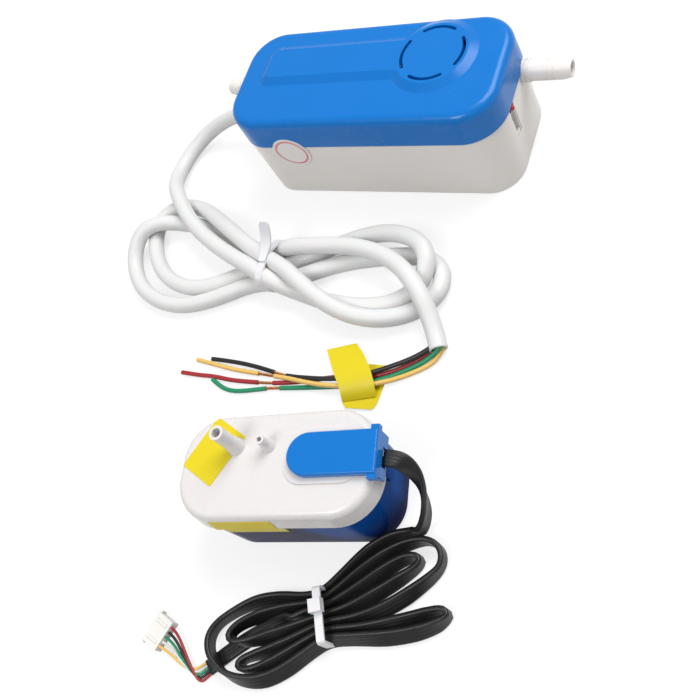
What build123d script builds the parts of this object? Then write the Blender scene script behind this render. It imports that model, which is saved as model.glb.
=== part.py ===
"""Condensate pump set: an in-line piston pump in a two-part housing, and the float
reservoir that feeds it. Millimetres, +Z up, origin under the middle of the set."""
import os
from math import cos, radians, sin, tan

from build123d import *

# ---- where the two units stand -------------------------------------------------------
PUMP_Y = 98.5                     # pump unit's middle, behind the origin
TANK_X, TANK_Y = 18.0, -100.0     # reservoir's middle, in front
TANK_TURN = 12.6                  # reservoir is turned a little on the floor, degrees

# ---- pump housing --------------------------------------------------------------------
PUMP_LENGTH, PUMP_WIDTH = 150.0, 64.0
SEAM = 40.6                       # cover's lower edge
COVER_TOP = 58.3
COVER_CORNER = 19.7
COVER_WALL = 2.0
COVER_DRAFT = 0.6                 # how far each wall leans in over the cover's height
BASE_WALL = 2.8
BASE_FLOOR = 2.6
RELIEF = 2.2                      # raised keyhole on the cover
DISC_X, DISC_Y = 37.0, 7.0        # its disc, from the housing's middle
DISC_RADIUS, DISC_BEVEL = 22.4, 4.0
BAR_HALF, BAR_END = 13.2, -61.0
VENT_RADIUS, VENT_WIDTH, VENT_SPAN = 15.9, 1.7, 60
SCREWS = [(-57, -18), (57, -18), (-60.5, 22.6), (60.5, 22.6)]

# ---- water line through the pump -----------------------------------------------------
LINE_Y, LINE_Z = 13.5, 37.6       # pump tube and both hose barbs share this axis
END_WALL = 74.4                   # housing's end at the height of the line
BARB_LAND = 5.0                   # radius a hose slides over
BARB_TIP = 98.2
TUBE_OUTER, TUBE_INNER, TUBE_HALF = 6.5, 5.25, 36.0
PLUNGER_HALF = 14.0
COIL_HALF, COIL_RADIUS = 20.0, 10.8

# ---- cord grip, board and sensor socket ----------------------------------------------
GRIP_Y, GRIP_Z, GRIP_TIP = 10.5, 19.0, 97.0
BOARD_Y, BOARD_THICK = -4.6, 1.6
SOCKET_Y, SOCKET_Z = -9.3, 29.0
SOCKET_TALL, SOCKET_WIDE, PIN_PITCH = 14.9, 5.75, 2.5

# ---- reservoir -----------------------------------------------------------------------
LID_LENGTH, LID_WIDTH, LID_CORNER = 95.0, 49.0, 20.0
LID_EDGE, LID_TOP = 34.0, 45.0
TANK_RIM = 38.0
TANK_WALL, TANK_FLOOR = 1.8, 2.0
INLET_X, INLET_Y = -19.0, 8.5
OUTLET_X, OUTLET_Y = -3.0, 8.0
CAGE_X, CAGE_RADIUS, CAGE_FOOT = 22.5, 17.2, 17.0
FLOAT_RADIUS, FLOAT_HEIGHT = 14.2, 13.0
COVER_LEFT, COVER_RIGHT, COVER_MID, COVER_HALF = 8.0, 48.7, 2.5, 9.5
LEAD_EXIT_Y, LEAD_EXIT_Z = 1.9, 40.4

# ---- cords ---------------------------------------------------------------------------
CORD = 9.0                        # round mains cord
CORE = 2.4                        # its insulated cores
LEAD_WIDE, LEAD_THICK = 7.5, 2.6  # flat sensor lead
LEAD_CORE = 1.3

FILM = 0.25                       # labels and seals
SEAL_X, SEAL_Z, SEAL_RADIUS = -41.0, 36.2, 10.6

CORD_ROUTE = [
    (-97.0, 109.0, 19.0), (-108.5, 109.0, 19.0), (-121.0, 107.0, 13.6), (-133.0, 102.0, 8.0),
    (-141.5, 92.5, 5.4), (-144.5, 81.0, 5.0), (-142.0, 69.5, 7.4), (-136.0, 59.0, 11.6),
    (-128.0, 51.0, 13.4),
]
TAIL_ROUTE = [(41.0, 20.0, 13.5), (47.5, 10.0, 12.0), (53.0, -1.0, 7.2), (57.5, -11.0, 4.6), (57.5, -20.0, 4.6)]
CORE_ROUTES = {
    "core_black": [(56.1, -20.0, 6.0), (52.5, -28.0, 5.6), (43.5, -33.2, 3.4), (28.0, -36.4, 1.3),
                   (9.5, -40.3, 1.3), (-9.0, -43.6, 1.3), (-28.0, -43.0, 1.3), (-48.0, -40.6, 1.3),
                   (-69.0, -40.4, 1.3)],
    "core_red": [(56.1, -20.0, 3.2), (51.5, -29.0, 2.2), (42.5, -35.8, 1.3), (27.0, -39.6, 1.3),
                 (8.5, -43.6, 1.3), (-10.5, -48.4, 1.3), (-28.0, -50.2, 1.3), (-46.0, -51.6, 1.3),
                 (-65.0, -51.8, 1.3), (-84.0, -50.4, 1.3)],
    "core_green": [(58.9, -20.0, 6.0), (56.0, -30.0, 4.0), (46.5, -38.2, 1.4), (29.0, -42.8, 1.3),
                   (9.5, -47.0, 1.3), (-10.0, -51.6, 1.3), (-29.0, -53.6, 1.3), (-43.0, -56.6, 1.3),
                   (-54.0, -57.0, 1.3), (-62.5, -54.8, 1.3)],
    "core_yellow": [(58.9, -20.0, 3.2), (60.5, -31.5, 1.3), (50.5, -42.6, 1.3), (31.0, -48.4, 1.3),
                    (11.5, -51.8, 1.3), (-5.5, -53.0, 3.9), (-16.0, -50.0, 4.4), (-27.0, -46.8, 2.8), (-40.0, -45.8, 1.3),
                    (-58.0, -44.4, 1.3), (-77.0, -42.6, 1.3)],
}
LEAD_ROUTE = [(65.17, -87.51, 40.4), (70.54, -86.31, 40.4), (75.2, -86.6, 37.2), (78.6, -89.4, 30.4),
              (80.4, -95.0, 21.0), (80.8, -101.6, 14.2), (80.0, -109.4, 8.6), (77.6, -117.6, 5.4),
              (73.4, -125.4, 4.5)]

PARTS = []


def keep(name, builder):
    builder.part.label = name
    PARTS.append((name, builder.part))


def across(unit, x, y, z):
    """Plane whose normal runs along the unit's length."""
    return Plane(origin=unit.from_local_coords((x, y, z)), x_dir=unit.y_dir, z_dir=unit.x_dir)


def lengthwise(unit, x, y, z):
    """Upright plane along the unit, seen from its front: X along, Y up."""
    return Plane(origin=unit.from_local_coords((x, y, z)), x_dir=unit.x_dir, z_dir=-unit.y_dir)


pump = Plane((0, PUMP_Y, 0))
tank_turn = radians(TANK_TURN)
tank_unit = Plane(origin=(TANK_X, TANK_Y, 0), x_dir=(cos(tank_turn), sin(tank_turn), 0), z_dir=(0, 0, 1))


# ======================================================================================
# Pump housing
# ======================================================================================
BASE_TOP_LENGTH, BASE_TOP_WIDTH, BASE_TOP_CORNER = PUMP_LENGTH - 1.2, PUMP_WIDTH - 1.2, COVER_CORNER - 0.6
BASE_FOOT_LENGTH, BASE_FOOT_WIDTH, BASE_FOOT_CORNER = PUMP_LENGTH - 2.0, PUMP_WIDTH - 1.6, 16.4
LIP_HEIGHT, LIP_WALL = 2.3, 1.2
LIP_LENGTH, LIP_WIDTH, LIP_CORNER = PUMP_LENGTH - 5.2, PUMP_WIDTH - 5.2, COVER_CORNER - 2.6

with BuildPart() as base_shell:
    with BuildSketch(pump):
        RectangleRounded(BASE_FOOT_LENGTH, BASE_FOOT_WIDTH, BASE_FOOT_CORNER)
    with BuildSketch(pump.offset(SEAM)):
        RectangleRounded(BASE_TOP_LENGTH, BASE_TOP_WIDTH, BASE_TOP_CORNER)
    loft()
    fillet(base_shell.edges().group_by(Axis.Z)[0], 1.4)
    with BuildSketch(pump.offset(SEAM)):
        RectangleRounded(LIP_LENGTH, LIP_WIDTH, LIP_CORNER)
    extrude(amount=LIP_HEIGHT)
    with BuildSketch(pump.offset(BASE_FLOOR)):
        RectangleRounded(BASE_FOOT_LENGTH - 2 * BASE_WALL, BASE_FOOT_WIDTH - 2 * BASE_WALL, 13.8)
    with BuildSketch(pump.offset(SEAM + LIP_HEIGHT)):
        RectangleRounded(LIP_LENGTH - 2 * LIP_WALL, LIP_WIDTH - 2 * LIP_WALL, LIP_CORNER - LIP_WALL)
    loft(mode=Mode.SUBTRACT)
    # screw posts, fused to the floor
    with BuildSketch(pump.offset(1.0)):
        with Locations(*SCREWS):
            Circle(3.3)
    extrude(amount=SEAM + 1.0)
    # saddles that carry the pump tube's rubber mounts
    for side in (-1, 1):
        with BuildSketch(across(pump, side * 29.0 - 1.5, LINE_Y, 0)):
            with Locations((0, 17.5)):
                Rectangle(23.0, 33.0)
        extrude(amount=3.0)
    with BuildSketch(across(pump, -32.0, LINE_Y, LINE_Z)):
        Circle(9.55)
    extrude(amount=64.0, mode=Mode.SUBTRACT)
    # slots that hold the control board on edge
    for x in (-46.0, 10.0, 58.0):
        with BuildSketch(pump.offset(1.5)):
            with Locations((x, BOARD_Y)):
                Rectangle(3.0, 6.0)
        extrude(amount=9.0)
    with BuildSketch(pump.offset(6.0)):
        with Locations((7.0, BOARD_Y)):
            Rectangle(122.0, BOARD_THICK + 0.1)
    extrude(amount=12.0, mode=Mode.SUBTRACT)
    # end walls: open-topped slots for the barbs, a hole for the cord, the sensor slot
    for side in (-1, 1):
        start = 66.0 if side > 0 else -80.0
        with BuildSketch(across(pump, start, LINE_Y, LINE_Z)):
            Circle(5.35)
            with Locations((0, 5.0)):
                Rectangle(10.7, 10.0)
        extrude(amount=14.0, mode=Mode.SUBTRACT)
    with BuildSketch(across(pump, -80.0, GRIP_Y, GRIP_Z)):
        Circle(6.5)
    extrude(amount=14.0, mode=Mode.SUBTRACT)
    with BuildSketch(across(pump, 66.0, SOCKET_Y, 0)):
        with Locations((0, 32.4)):
            Rectangle(SOCKET_WIDE + 0.5, 24.0)
    extrude(amount=14.0, mode=Mode.SUBTRACT)
    # screw holes, countersunk from below
    with BuildSketch(pump):
        with Locations(*SCREWS):
            Circle(1.75)
    extrude(amount=SEAM + 4.0, mode=Mode.SUBTRACT)
    with BuildSketch(pump):
        with Locations(*SCREWS):
            Circle(3.1)
    extrude(amount=2.4, mode=Mode.SUBTRACT)
keep("base_shell", base_shell)

vent_arcs = [CenterArc((0, 0), VENT_RADIUS, 90 * turn - VENT_SPAN / 2, VENT_SPAN) for turn in range(4)]
TOP_LENGTH, TOP_WIDTH, TOP_CORNER = PUMP_LENGTH - 2 * COVER_DRAFT, PUMP_WIDTH - 2 * COVER_DRAFT, 19.2
with BuildPart() as top_cover:
    with BuildSketch(pump.offset(SEAM)):
        RectangleRounded(PUMP_LENGTH, PUMP_WIDTH, COVER_CORNER)
    with BuildSketch(pump.offset(COVER_TOP)):
        RectangleRounded(TOP_LENGTH, TOP_WIDTH, TOP_CORNER)
    loft()
    fillet(top_cover.edges().group_by(Axis.Z)[-1], 4.4)
    # raised keyhole, bevelled all round
    with BuildSketch(pump.offset(COVER_TOP)):
        with Locations((DISC_X, DISC_Y)):
            Circle(DISC_RADIUS)
        with Locations(((BAR_END + DISC_X) / 2, DISC_Y)):
            RectangleRounded(DISC_X - BAR_END, 2 * BAR_HALF, 7.0)
    extrude(amount=RELIEF, taper=62)
    with BuildSketch(pump.offset(SEAM)):
        RectangleRounded(PUMP_LENGTH - 2 * COVER_WALL, PUMP_WIDTH - 2 * COVER_WALL, COVER_CORNER - COVER_WALL)
    with BuildSketch(pump.offset(COVER_TOP - COVER_WALL)):
        RectangleRounded(TOP_LENGTH - 2 * COVER_WALL - 2, TOP_WIDTH - 2 * COVER_WALL - 2, TOP_CORNER - 3.5)
    loft(mode=Mode.SUBTRACT)
    # bosses that stand on the base's posts
    with BuildSketch(pump.offset(SEAM + 2.1)):
        with Locations(*SCREWS):
            Circle(3.0)
    extrude(amount=COVER_TOP - COVER_WALL + 0.5 - SEAM - 2.1)
    with BuildSketch(pump.offset(SEAM)):
        with Locations(*SCREWS):
            Circle(1.65)
    extrude(amount=11.0, mode=Mode.SUBTRACT)
    # arched clearances over the barb collars
    for side in (-1, 1):
        start = 70.0 if side > 0 else -80.0
        with BuildSketch(across(pump, start, LINE_Y, LINE_Z)):
            Circle(6.0)
        extrude(amount=10.0, mode=Mode.SUBTRACT)
    # four curved vents through the disc
    with BuildSketch(pump.offset(COVER_TOP - COVER_WALL - 2)):
        with Locations((DISC_X, DISC_Y)):
            for arc in vent_arcs:
                SlotArc(arc, VENT_WIDTH)
    extrude(amount=10.0, mode=Mode.SUBTRACT)
keep("top_cover", top_cover)

with BuildPart() as cover_screws:
    with BuildSketch(pump.offset(0.7)):
        with Locations(*SCREWS):
            Circle(2.8)
    extrude(amount=1.7)
    with BuildSketch(pump.offset(2.4)):
        with Locations(*SCREWS):
            Circle(1.5)
    extrude(amount=47.0)
keep("cover_screws", cover_screws)


def housing_block(grow):
    """The closed housing's outer form, grown outwards a little."""
    with BuildPart() as block:
        with BuildSketch(pump):
            RectangleRounded(BASE_FOOT_LENGTH + 2 * grow, BASE_FOOT_WIDTH + 2 * grow, BASE_FOOT_CORNER)
        with BuildSketch(pump.offset(SEAM)):
            if grow:
                RectangleRounded(PUMP_LENGTH + 2 * grow, PUMP_WIDTH + 2 * grow, BASE_TOP_CORNER)
            else:
                RectangleRounded(BASE_TOP_LENGTH, BASE_TOP_WIDTH, BASE_TOP_CORNER)
        loft()
        with BuildSketch(pump.offset(SEAM)):
            RectangleRounded(PUMP_LENGTH + 2 * grow, PUMP_WIDTH + 2 * grow, COVER_CORNER)
        with BuildSketch(pump.offset(COVER_TOP)):
            RectangleRounded(TOP_LENGTH + 2 * grow, TOP_WIDTH + 2 * grow, TOP_CORNER)
        loft()
    return block.part


# a round tamper seal across the seam, following both walls
with BuildPart() as seam_seal:
    with BuildSketch(lengthwise(pump, SEAL_X, -PUMP_WIDTH / 2 + 5, SEAL_Z)):
        Circle(SEAL_RADIUS)
    extrude(amount=8.0)
    add(housing_block(FILM), mode=Mode.INTERSECT)
    add(housing_block(0), mode=Mode.SUBTRACT)
keep("seam_seal", seam_seal)


# ======================================================================================
# Water line, left to right: barb, hose, pump head, tube, head, hose, barb
# ======================================================================================
def turned(side, outline):
    """Solid of revolution about the water line; outline is (distance outward, radius)."""
    middle = pump.from_local_coords((0, LINE_Y, LINE_Z))
    plane = Plane(origin=middle, x_dir=pump.x_dir * side, z_dir=-pump.y_dir * side)
    with BuildPart() as body:
        with BuildSketch(plane):
            with BuildLine():
                Polyline(*outline, close=True)
            make_face()
        revolve(axis=Axis(plane.origin, plane.x_dir))
    return body


def barb_outline():
    """Hose barb from its inner spigot to its tip, with two collars and fine grip grooves."""
    land = BARB_LAND
    points = [(57.0, 2.9), (57.0, 3.6), (66.8, 3.6), (66.8, 6.8), (68.4, 6.8), (68.4, 5.2), (END_WALL + 0.7, 5.2),
              (END_WALL + 0.7, 5.7), (76.3, 5.7), (76.3, 4.9), (77.3, 4.9), (77.3, 5.5), (78.4, 5.5), (78.4, land),
              (86.0, land)]
    for groove in range(4):
        start = 86.0 + 1.4 * groove
        points += [(start, land - 0.3), (start + 0.7, land - 0.3), (start + 0.7, land), (start + 1.4, land)]
    points += [(94.0, land), (BARB_TIP, 4.1), (BARB_TIP, 3.3), (BARB_TIP - 0.6, 2.9)]
    return points


head_outline = [(TUBE_HALF - 4, TUBE_OUTER + 0.05), (TUBE_HALF - 4, 8.6), (43.0, 8.6), (44.2, 3.6), (55.0, 3.6),
                (55.0, 1.8), (42.2, 1.8), (42.2, 4.2), (TUBE_HALF + 0.05, 4.2), (TUBE_HALF + 0.05, TUBE_OUTER + 0.05)]
hose_outline = [(46.0, 3.65), (46.0, 5.2), (66.4, 5.2), (66.4, 3.65)]
mount_outline = [(26.0, TUBE_OUTER + 0.02), (26.0, 11.0), (27.4, 11.0), (27.4, 9.5), (30.6, 9.5), (30.6, 11.0),
                 (31.9, 11.0), (31.9, TUBE_OUTER + 0.02)]
duckbill = [(36.2, 0), (36.6, 0.9), (40.4, 2.6), (40.6, 4.0), (42.1, 4.0), (42.1, 0)]
for side, end in ((-1, "inlet"), (1, "outlet")):
    keep(f"{end}_barb", turned(side, barb_outline()))
    keep(f"{end}_hose", turned(side, hose_outline))
    keep(f"{end}_head", turned(side, head_outline))
    keep(f"{end}_valve", turned(side, duckbill))
    keep(f"{end}_rubber_mount", turned(side, mount_outline))

tube_outline = [(-TUBE_HALF, TUBE_INNER), (-TUBE_HALF, TUBE_OUTER), (TUBE_HALF, TUBE_OUTER), (TUBE_HALF, TUBE_INNER)]
keep("pump_tube", turned(1, tube_outline))

groove = TUBE_INNER - 0.7
plunger_outline = [(-PLUNGER_HALF, 1.6), (-PLUNGER_HALF, 4.2), (-PLUNGER_HALF + 1, TUBE_INNER - 0.1)]
for x in (-7.0, 0.0, 7.0):
    plunger_outline += [(x - 0.8, TUBE_INNER - 0.1), (x - 0.8, groove), (x + 0.8, groove), (x + 0.8, TUBE_INNER - 0.1)]
plunger_outline += [(PLUNGER_HALF - 1, TUBE_INNER - 0.1), (PLUNGER_HALF, 4.2), (PLUNGER_HALF, 1.6)]
keep("plunger", turned(1, plunger_outline))

bobbin_outline = [(-COIL_HALF, 6.6), (-COIL_HALF, 11.3), (-COIL_HALF + 1.5, 11.3), (-COIL_HALF + 1.5, 7.8),
                  (COIL_HALF - 1.5, 7.8), (COIL_HALF - 1.5, 11.3), (COIL_HALF, 11.3), (COIL_HALF, 6.6)]
keep("coil_bobbin", turned(1, bobbin_outline))
winding_outline = [(-COIL_HALF + 1.6, 7.85), (-COIL_HALF + 1.6, COIL_RADIUS), (COIL_HALF - 1.6, COIL_RADIUS),
                   (COIL_HALF - 1.6, 7.85)]
keep("coil_winding", turned(1, winding_outline))

# steel loop that closes the magnetic path round the coil
YOKE_HALF, YOKE_PLATE = 23.0, 2.5
with BuildPart() as coil_yoke:
    with BuildSketch(lengthwise(pump, 0, LINE_Y + 10, LINE_Z)):
        RectangleRounded(2 * YOKE_HALF, 30.0, 2.0)
        RectangleRounded(2 * (YOKE_HALF - YOKE_PLATE), 25.0, 0.6, mode=Mode.SUBTRACT)
    extrude(amount=20.0)
    with BuildSketch(across(pump, -YOKE_HALF - 1, LINE_Y, LINE_Z)):
        Circle(TUBE_OUTER + 0.1)
    extrude(amount=2 * YOKE_HALF + 2, mode=Mode.SUBTRACT)
keep("coil_yoke", coil_yoke)

# a spring at each end of the plunger, between it and the pump head
SPRING_COIL, SPRING_WIRE, SPRING_TURNS = 4.2, 0.9, 6
spring_long = TUBE_HALF - PLUNGER_HALF - SPRING_WIRE - 0.1
for side, name in ((-1, "return_spring"), (1, "buffer_spring")):
    start = across(pump, side * (PLUNGER_HALF + SPRING_WIRE / 2 + 0.05), LINE_Y, LINE_Z)
    coil = Helix(spring_long / SPRING_TURNS, spring_long, SPRING_COIL, center=start.origin,
                 direction=pump.x_dir * side)
    with BuildPart() as spring:
        with BuildSketch(Plane(origin=coil @ 0, z_dir=coil % 0)):
            RegularPolygon(SPRING_WIRE / 2, 6)
        sweep(path=coil, is_frenet=True)
    keep(name, spring)


# ======================================================================================
# Cord grip and electronics
# ======================================================================================
grip_middle = pump.from_local_coords((0, GRIP_Y, GRIP_Z))
grip_plane = Plane(origin=grip_middle, x_dir=-pump.x_dir, z_dir=pump.y_dir)
with BuildPart() as cord_grip:
    with BuildSketch(grip_plane):
        with BuildLine():
            Polyline((68.0, 0), (68.0, 7.2), (70.4, 7.2), (70.4, 6.4), (74.6, 6.4), (74.6, 8.0), (77.0, 8.0),
                     (77.6, 7.2), (GRIP_TIP, 5.4), (GRIP_TIP, 0), close=True)
        make_face()
    revolve(axis=Axis(grip_middle, pump.x_dir))
keep("cord_grip", cord_grip)

board_face = lengthwise(pump, 0, BOARD_Y - BOARD_THICK / 2, 0)
board_back = lengthwise(pump, 0, BOARD_Y + BOARD_THICK / 2, 0)
with BuildPart() as control_board:
    with BuildSketch(board_back):
        with Locations((8.0, 21.8)):
            Rectangle(116.0, 31.0)
        with Locations((-40.0, 33.0), (-14.0, 33.0)):
            Circle(1.6, mode=Mode.SUBTRACT)
    extrude(amount=BOARD_THICK)
keep("control_board", control_board)

with BuildPart() as relay:
    with BuildSketch(board_face):
        with Locations((-4.0, 24.0)):
            RectangleRounded(19.0, 15.5, 0.8)
    extrude(amount=15.0)
    fillet(relay.faces().sort_by(Axis.Y)[0].edges(), 0.6)
keep("relay", relay)

with BuildPart() as filter_capacitor:
    with BuildSketch(board_face):
        with Locations((24.0, 24.0)):
            Rectangle(13.0, 18.0)
    extrude(amount=6.0)
    with BuildSketch(board_face.offset(0)):
        with Locations((41.0, 22.0)):
            Circle(5.0)
    extrude(amount=14.0)
keep("filter_capacitor", filter_capacitor)

with BuildPart() as fuse:
    with BuildSketch(across(pump, -27.0, BOARD_Y - BOARD_THICK / 2 - 3.6, 11.5)):
        Circle(2.6)
    extrude(amount=20.0)
    for x in (-27.0, -12.0):
        with BuildSketch(board_face):
            with Locations((x + 2.5, 11.5)):
                Rectangle(5.0, 5.6)
        extrude(amount=3.6)
keep("fuse", fuse)

with BuildPart() as terminal_block:
    with BuildSketch(board_face):
        with Locations((-38.0, 22.0)):
            Rectangle(10.0, 20.0)
    extrude(amount=10.0)
    with BuildSketch(across(pump, -43.1, BOARD_Y - 6.0, 22.0)):
        with GridLocations(1, 5.0, 1, 4):
            Rectangle(3.6, 3.4)
    extrude(amount=6.0, mode=Mode.SUBTRACT)
    with BuildSketch(board_face.offset(10.0)):
        with Locations((-38.0, 22.0)):
            with GridLocations(1, 5.0, 1, 4):
                Circle(1.5)
    extrude(amount=-1.5, mode=Mode.SUBTRACT)
keep("terminal_block", terminal_block)

SOCKET_MOUTH, SOCKET_BACK, SOCKET_SHELL = 74.0, 66.2, 0.75
with BuildPart() as sensor_socket:
    with BuildSketch(across(pump, SOCKET_BACK, SOCKET_Y, SOCKET_Z)):
        Rectangle(SOCKET_WIDE, SOCKET_TALL)
    extrude(amount=SOCKET_MOUTH - SOCKET_BACK)
    with BuildSketch(across(pump, SOCKET_BACK + 1.4, SOCKET_Y, SOCKET_Z)):
        Rectangle(SOCKET_WIDE - 2 * SOCKET_SHELL, SOCKET_TALL - 2 * SOCKET_SHELL)
    extrude(amount=SOCKET_MOUTH, mode=Mode.SUBTRACT)
    with BuildSketch(across(pump, SOCKET_BACK + 3, SOCKET_Y - SOCKET_WIDE / 2, SOCKET_Z)):
        with GridLocations(1, 8.0, 1, 2):
            Rectangle(2 * SOCKET_SHELL + 0.2, 1.4)
    extrude(amount=SOCKET_MOUTH, mode=Mode.SUBTRACT)
    with BuildSketch(across(pump, SOCKET_BACK - 1, SOCKET_Y, SOCKET_Z)):
        with GridLocations(1, PIN_PITCH, 1, 5):
            Rectangle(0.66, 0.66)
    extrude(amount=4.0, mode=Mode.SUBTRACT)
keep("sensor_socket", sensor_socket)

with BuildPart() as socket_pins:
    with BuildSketch(across(pump, SOCKET_BACK - 1.6, SOCKET_Y, SOCKET_Z)):
        with GridLocations(1, PIN_PITCH, 1, 5):
            Rectangle(0.64, 0.64)
    extrude(amount=6.6)
    with BuildSketch(lengthwise(pump, SOCKET_BACK - 1.6 - 0.32, BOARD_Y - BOARD_THICK / 2, SOCKET_Z)):
        with GridLocations(1, PIN_PITCH, 1, 5):
            Rectangle(0.64, 0.64)
    extrude(amount=SOCKET_WIDE / 2 + 1.6)
keep("socket_pins", socket_pins)

LED_Y, LED_Z = SOCKET_Y + 0.4, 38.9
with BuildPart() as status_led:
    with BuildSketch(across(pump, 69.5, LED_Y, LED_Z)):
        Circle(1.5)
    extrude(amount=4.2)
    fillet(status_led.faces().sort_by(Axis.X)[-1].edges(), 1.2)
    with BuildSketch(across(pump, 69.0, LED_Y, LED_Z)):
        Circle(1.8)
    extrude(amount=0.9)
keep("status_led", status_led)


# ======================================================================================
# Reservoir
# ======================================================================================
TANK_LENGTH, TANK_WIDTH = LID_LENGTH - 2.8, LID_WIDTH - 2.8
FOOT_LENGTH, FOOT_WIDTH, FOOT_CORNER = LID_LENGTH - 5.6, LID_WIDTH - 5.6, 17.0
HOOK_HALF, HOOK_TOP = 3.4, 41.0
with BuildPart() as tank:
    with BuildSketch(tank_unit):
        RectangleRounded(FOOT_LENGTH, FOOT_WIDTH, FOOT_CORNER)
    with BuildSketch(tank_unit.offset(TANK_RIM)):
        RectangleRounded(TANK_LENGTH, TANK_WIDTH, LID_CORNER - 1.4)
    loft()
    fillet(tank.edges().group_by(Axis.Z)[0], 2.0)
    # thumb lip at the left end
    with BuildSketch(tank_unit.offset(LID_EDGE - 3.4)):
        with BuildLine():
            l1 = ThreePointArc((-43.0, 12.0), (-51.5, 0.0), (-43.0, -12.0))
            Line(l1 @ 1, l1 @ 0)
        make_face()
    extrude(amount=3.0)
    with BuildSketch(tank_unit.offset(TANK_FLOOR)):
        RectangleRounded(FOOT_LENGTH - 2 * TANK_WALL, FOOT_WIDTH - 2 * TANK_WALL, FOOT_CORNER - TANK_WALL)
    with BuildSketch(tank_unit.offset(TANK_RIM)):
        RectangleRounded(TANK_LENGTH - 2 * TANK_WALL, TANK_WIDTH - 2 * TANK_WALL, LID_CORNER - 1.4 - TANK_WALL)
    loft(mode=Mode.SUBTRACT)
    # tongue at the right end that the lid's notch drops over
    with BuildSketch(across(tank_unit, TANK_LENGTH / 2 - 0.6, 0, 0)):
        with Locations((0, (HOOK_TOP + 26.0) / 2)):
            RectangleRounded(2 * HOOK_HALF, HOOK_TOP - 26.0, 2.2)
    extrude(amount=2.0)
keep("tank", tank)

PLATE = 2.2                       # lid's top thickness
NOTCH_TOP = HOOK_TOP + 0.6
with BuildPart() as tank_lid:
    with BuildSketch(tank_unit.offset(LID_EDGE)):
        RectangleRounded(LID_LENGTH, LID_WIDTH, LID_CORNER)
    with BuildSketch(tank_unit.offset(LID_TOP)):
        RectangleRounded(LID_LENGTH - 2.4, LID_WIDTH - 2.4, LID_CORNER - 1.0)
    loft()
    fillet(tank_lid.edges().group_by(Axis.Z)[-1], 3.4)
    with BuildSketch(tank_unit.offset(LID_EDGE)):
        RectangleRounded(TANK_LENGTH + 0.6, TANK_WIDTH + 0.6, LID_CORNER - 1.1)
    extrude(amount=TANK_RIM + 1.2 - LID_EDGE, mode=Mode.SUBTRACT)
    with BuildSketch(tank_unit.offset(LID_EDGE)):
        RectangleRounded(TANK_LENGTH - 6.0, TANK_WIDTH - 6.0, LID_CORNER - 4.4)
    extrude(amount=LID_TOP - PLATE - LID_EDGE, mode=Mode.SUBTRACT)
    # low plinth round the sensor cover
    with BuildSketch(tank_unit.offset(LID_TOP - 0.5)):
        with Locations(((COVER_LEFT + 41.5) / 2 - 1.2, COVER_MID)):
            RectangleRounded(41.5 - COVER_LEFT + 2.4, 2 * COVER_HALF + 5.0, 9.0)
    extrude(amount=1.1)
    # spigots for the drain hose and the pump's suction hose
    for x, y, foot, top, height in ((INLET_X, INLET_Y, 4.3, 3.3, 17.0), (OUTLET_X, OUTLET_Y, 3.6, 2.2, 8.5)):
        with BuildSketch(tank_unit.offset(LID_TOP - 0.5)):
            with Locations((x, y)):
                Circle(foot)
        with BuildSketch(tank_unit.offset(LID_TOP + 0.42 * height)):
            with Locations((x, y)):
                Circle(top)
        loft()
        with BuildSketch(tank_unit.offset(LID_TOP + 0.42 * height)):
            with Locations((x, y)):
                Circle(top)
        extrude(amount=0.58 * height)
    with BuildSketch(tank_unit.offset(LID_EDGE)):
        with Locations((INLET_X, INLET_Y)):
            Circle(2.1)
        with Locations((OUTLET_X, OUTLET_Y)):
            Circle(1.1)
    extrude(amount=40.0, mode=Mode.SUBTRACT)
    # notch over the tank's tongue, and the slot the flat lead leaves by
    with BuildSketch(across(tank_unit, TANK_LENGTH / 2 - 6.0, 0, 0)):
        with Locations((0, (NOTCH_TOP + LID_EDGE - 2) / 2)):
            Rectangle(2 * HOOK_HALF + 0.8, NOTCH_TOP - LID_EDGE + 2)
    extrude(amount=10.0, mode=Mode.SUBTRACT)
keep("tank_lid", tank_lid)

with BuildPart() as lid_gasket:
    with BuildSketch(tank_unit.offset(TANK_RIM + 0.02)):
        RectangleRounded(TANK_LENGTH - 1.4, TANK_WIDTH - 1.4, LID_CORNER - 2.1)
        RectangleRounded(TANK_LENGTH - 4.6, TANK_WIDTH - 4.6, LID_CORNER - 3.6, mode=Mode.SUBTRACT)
    extrude(amount=1.16)
keep("lid_gasket", lid_gasket)

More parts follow.
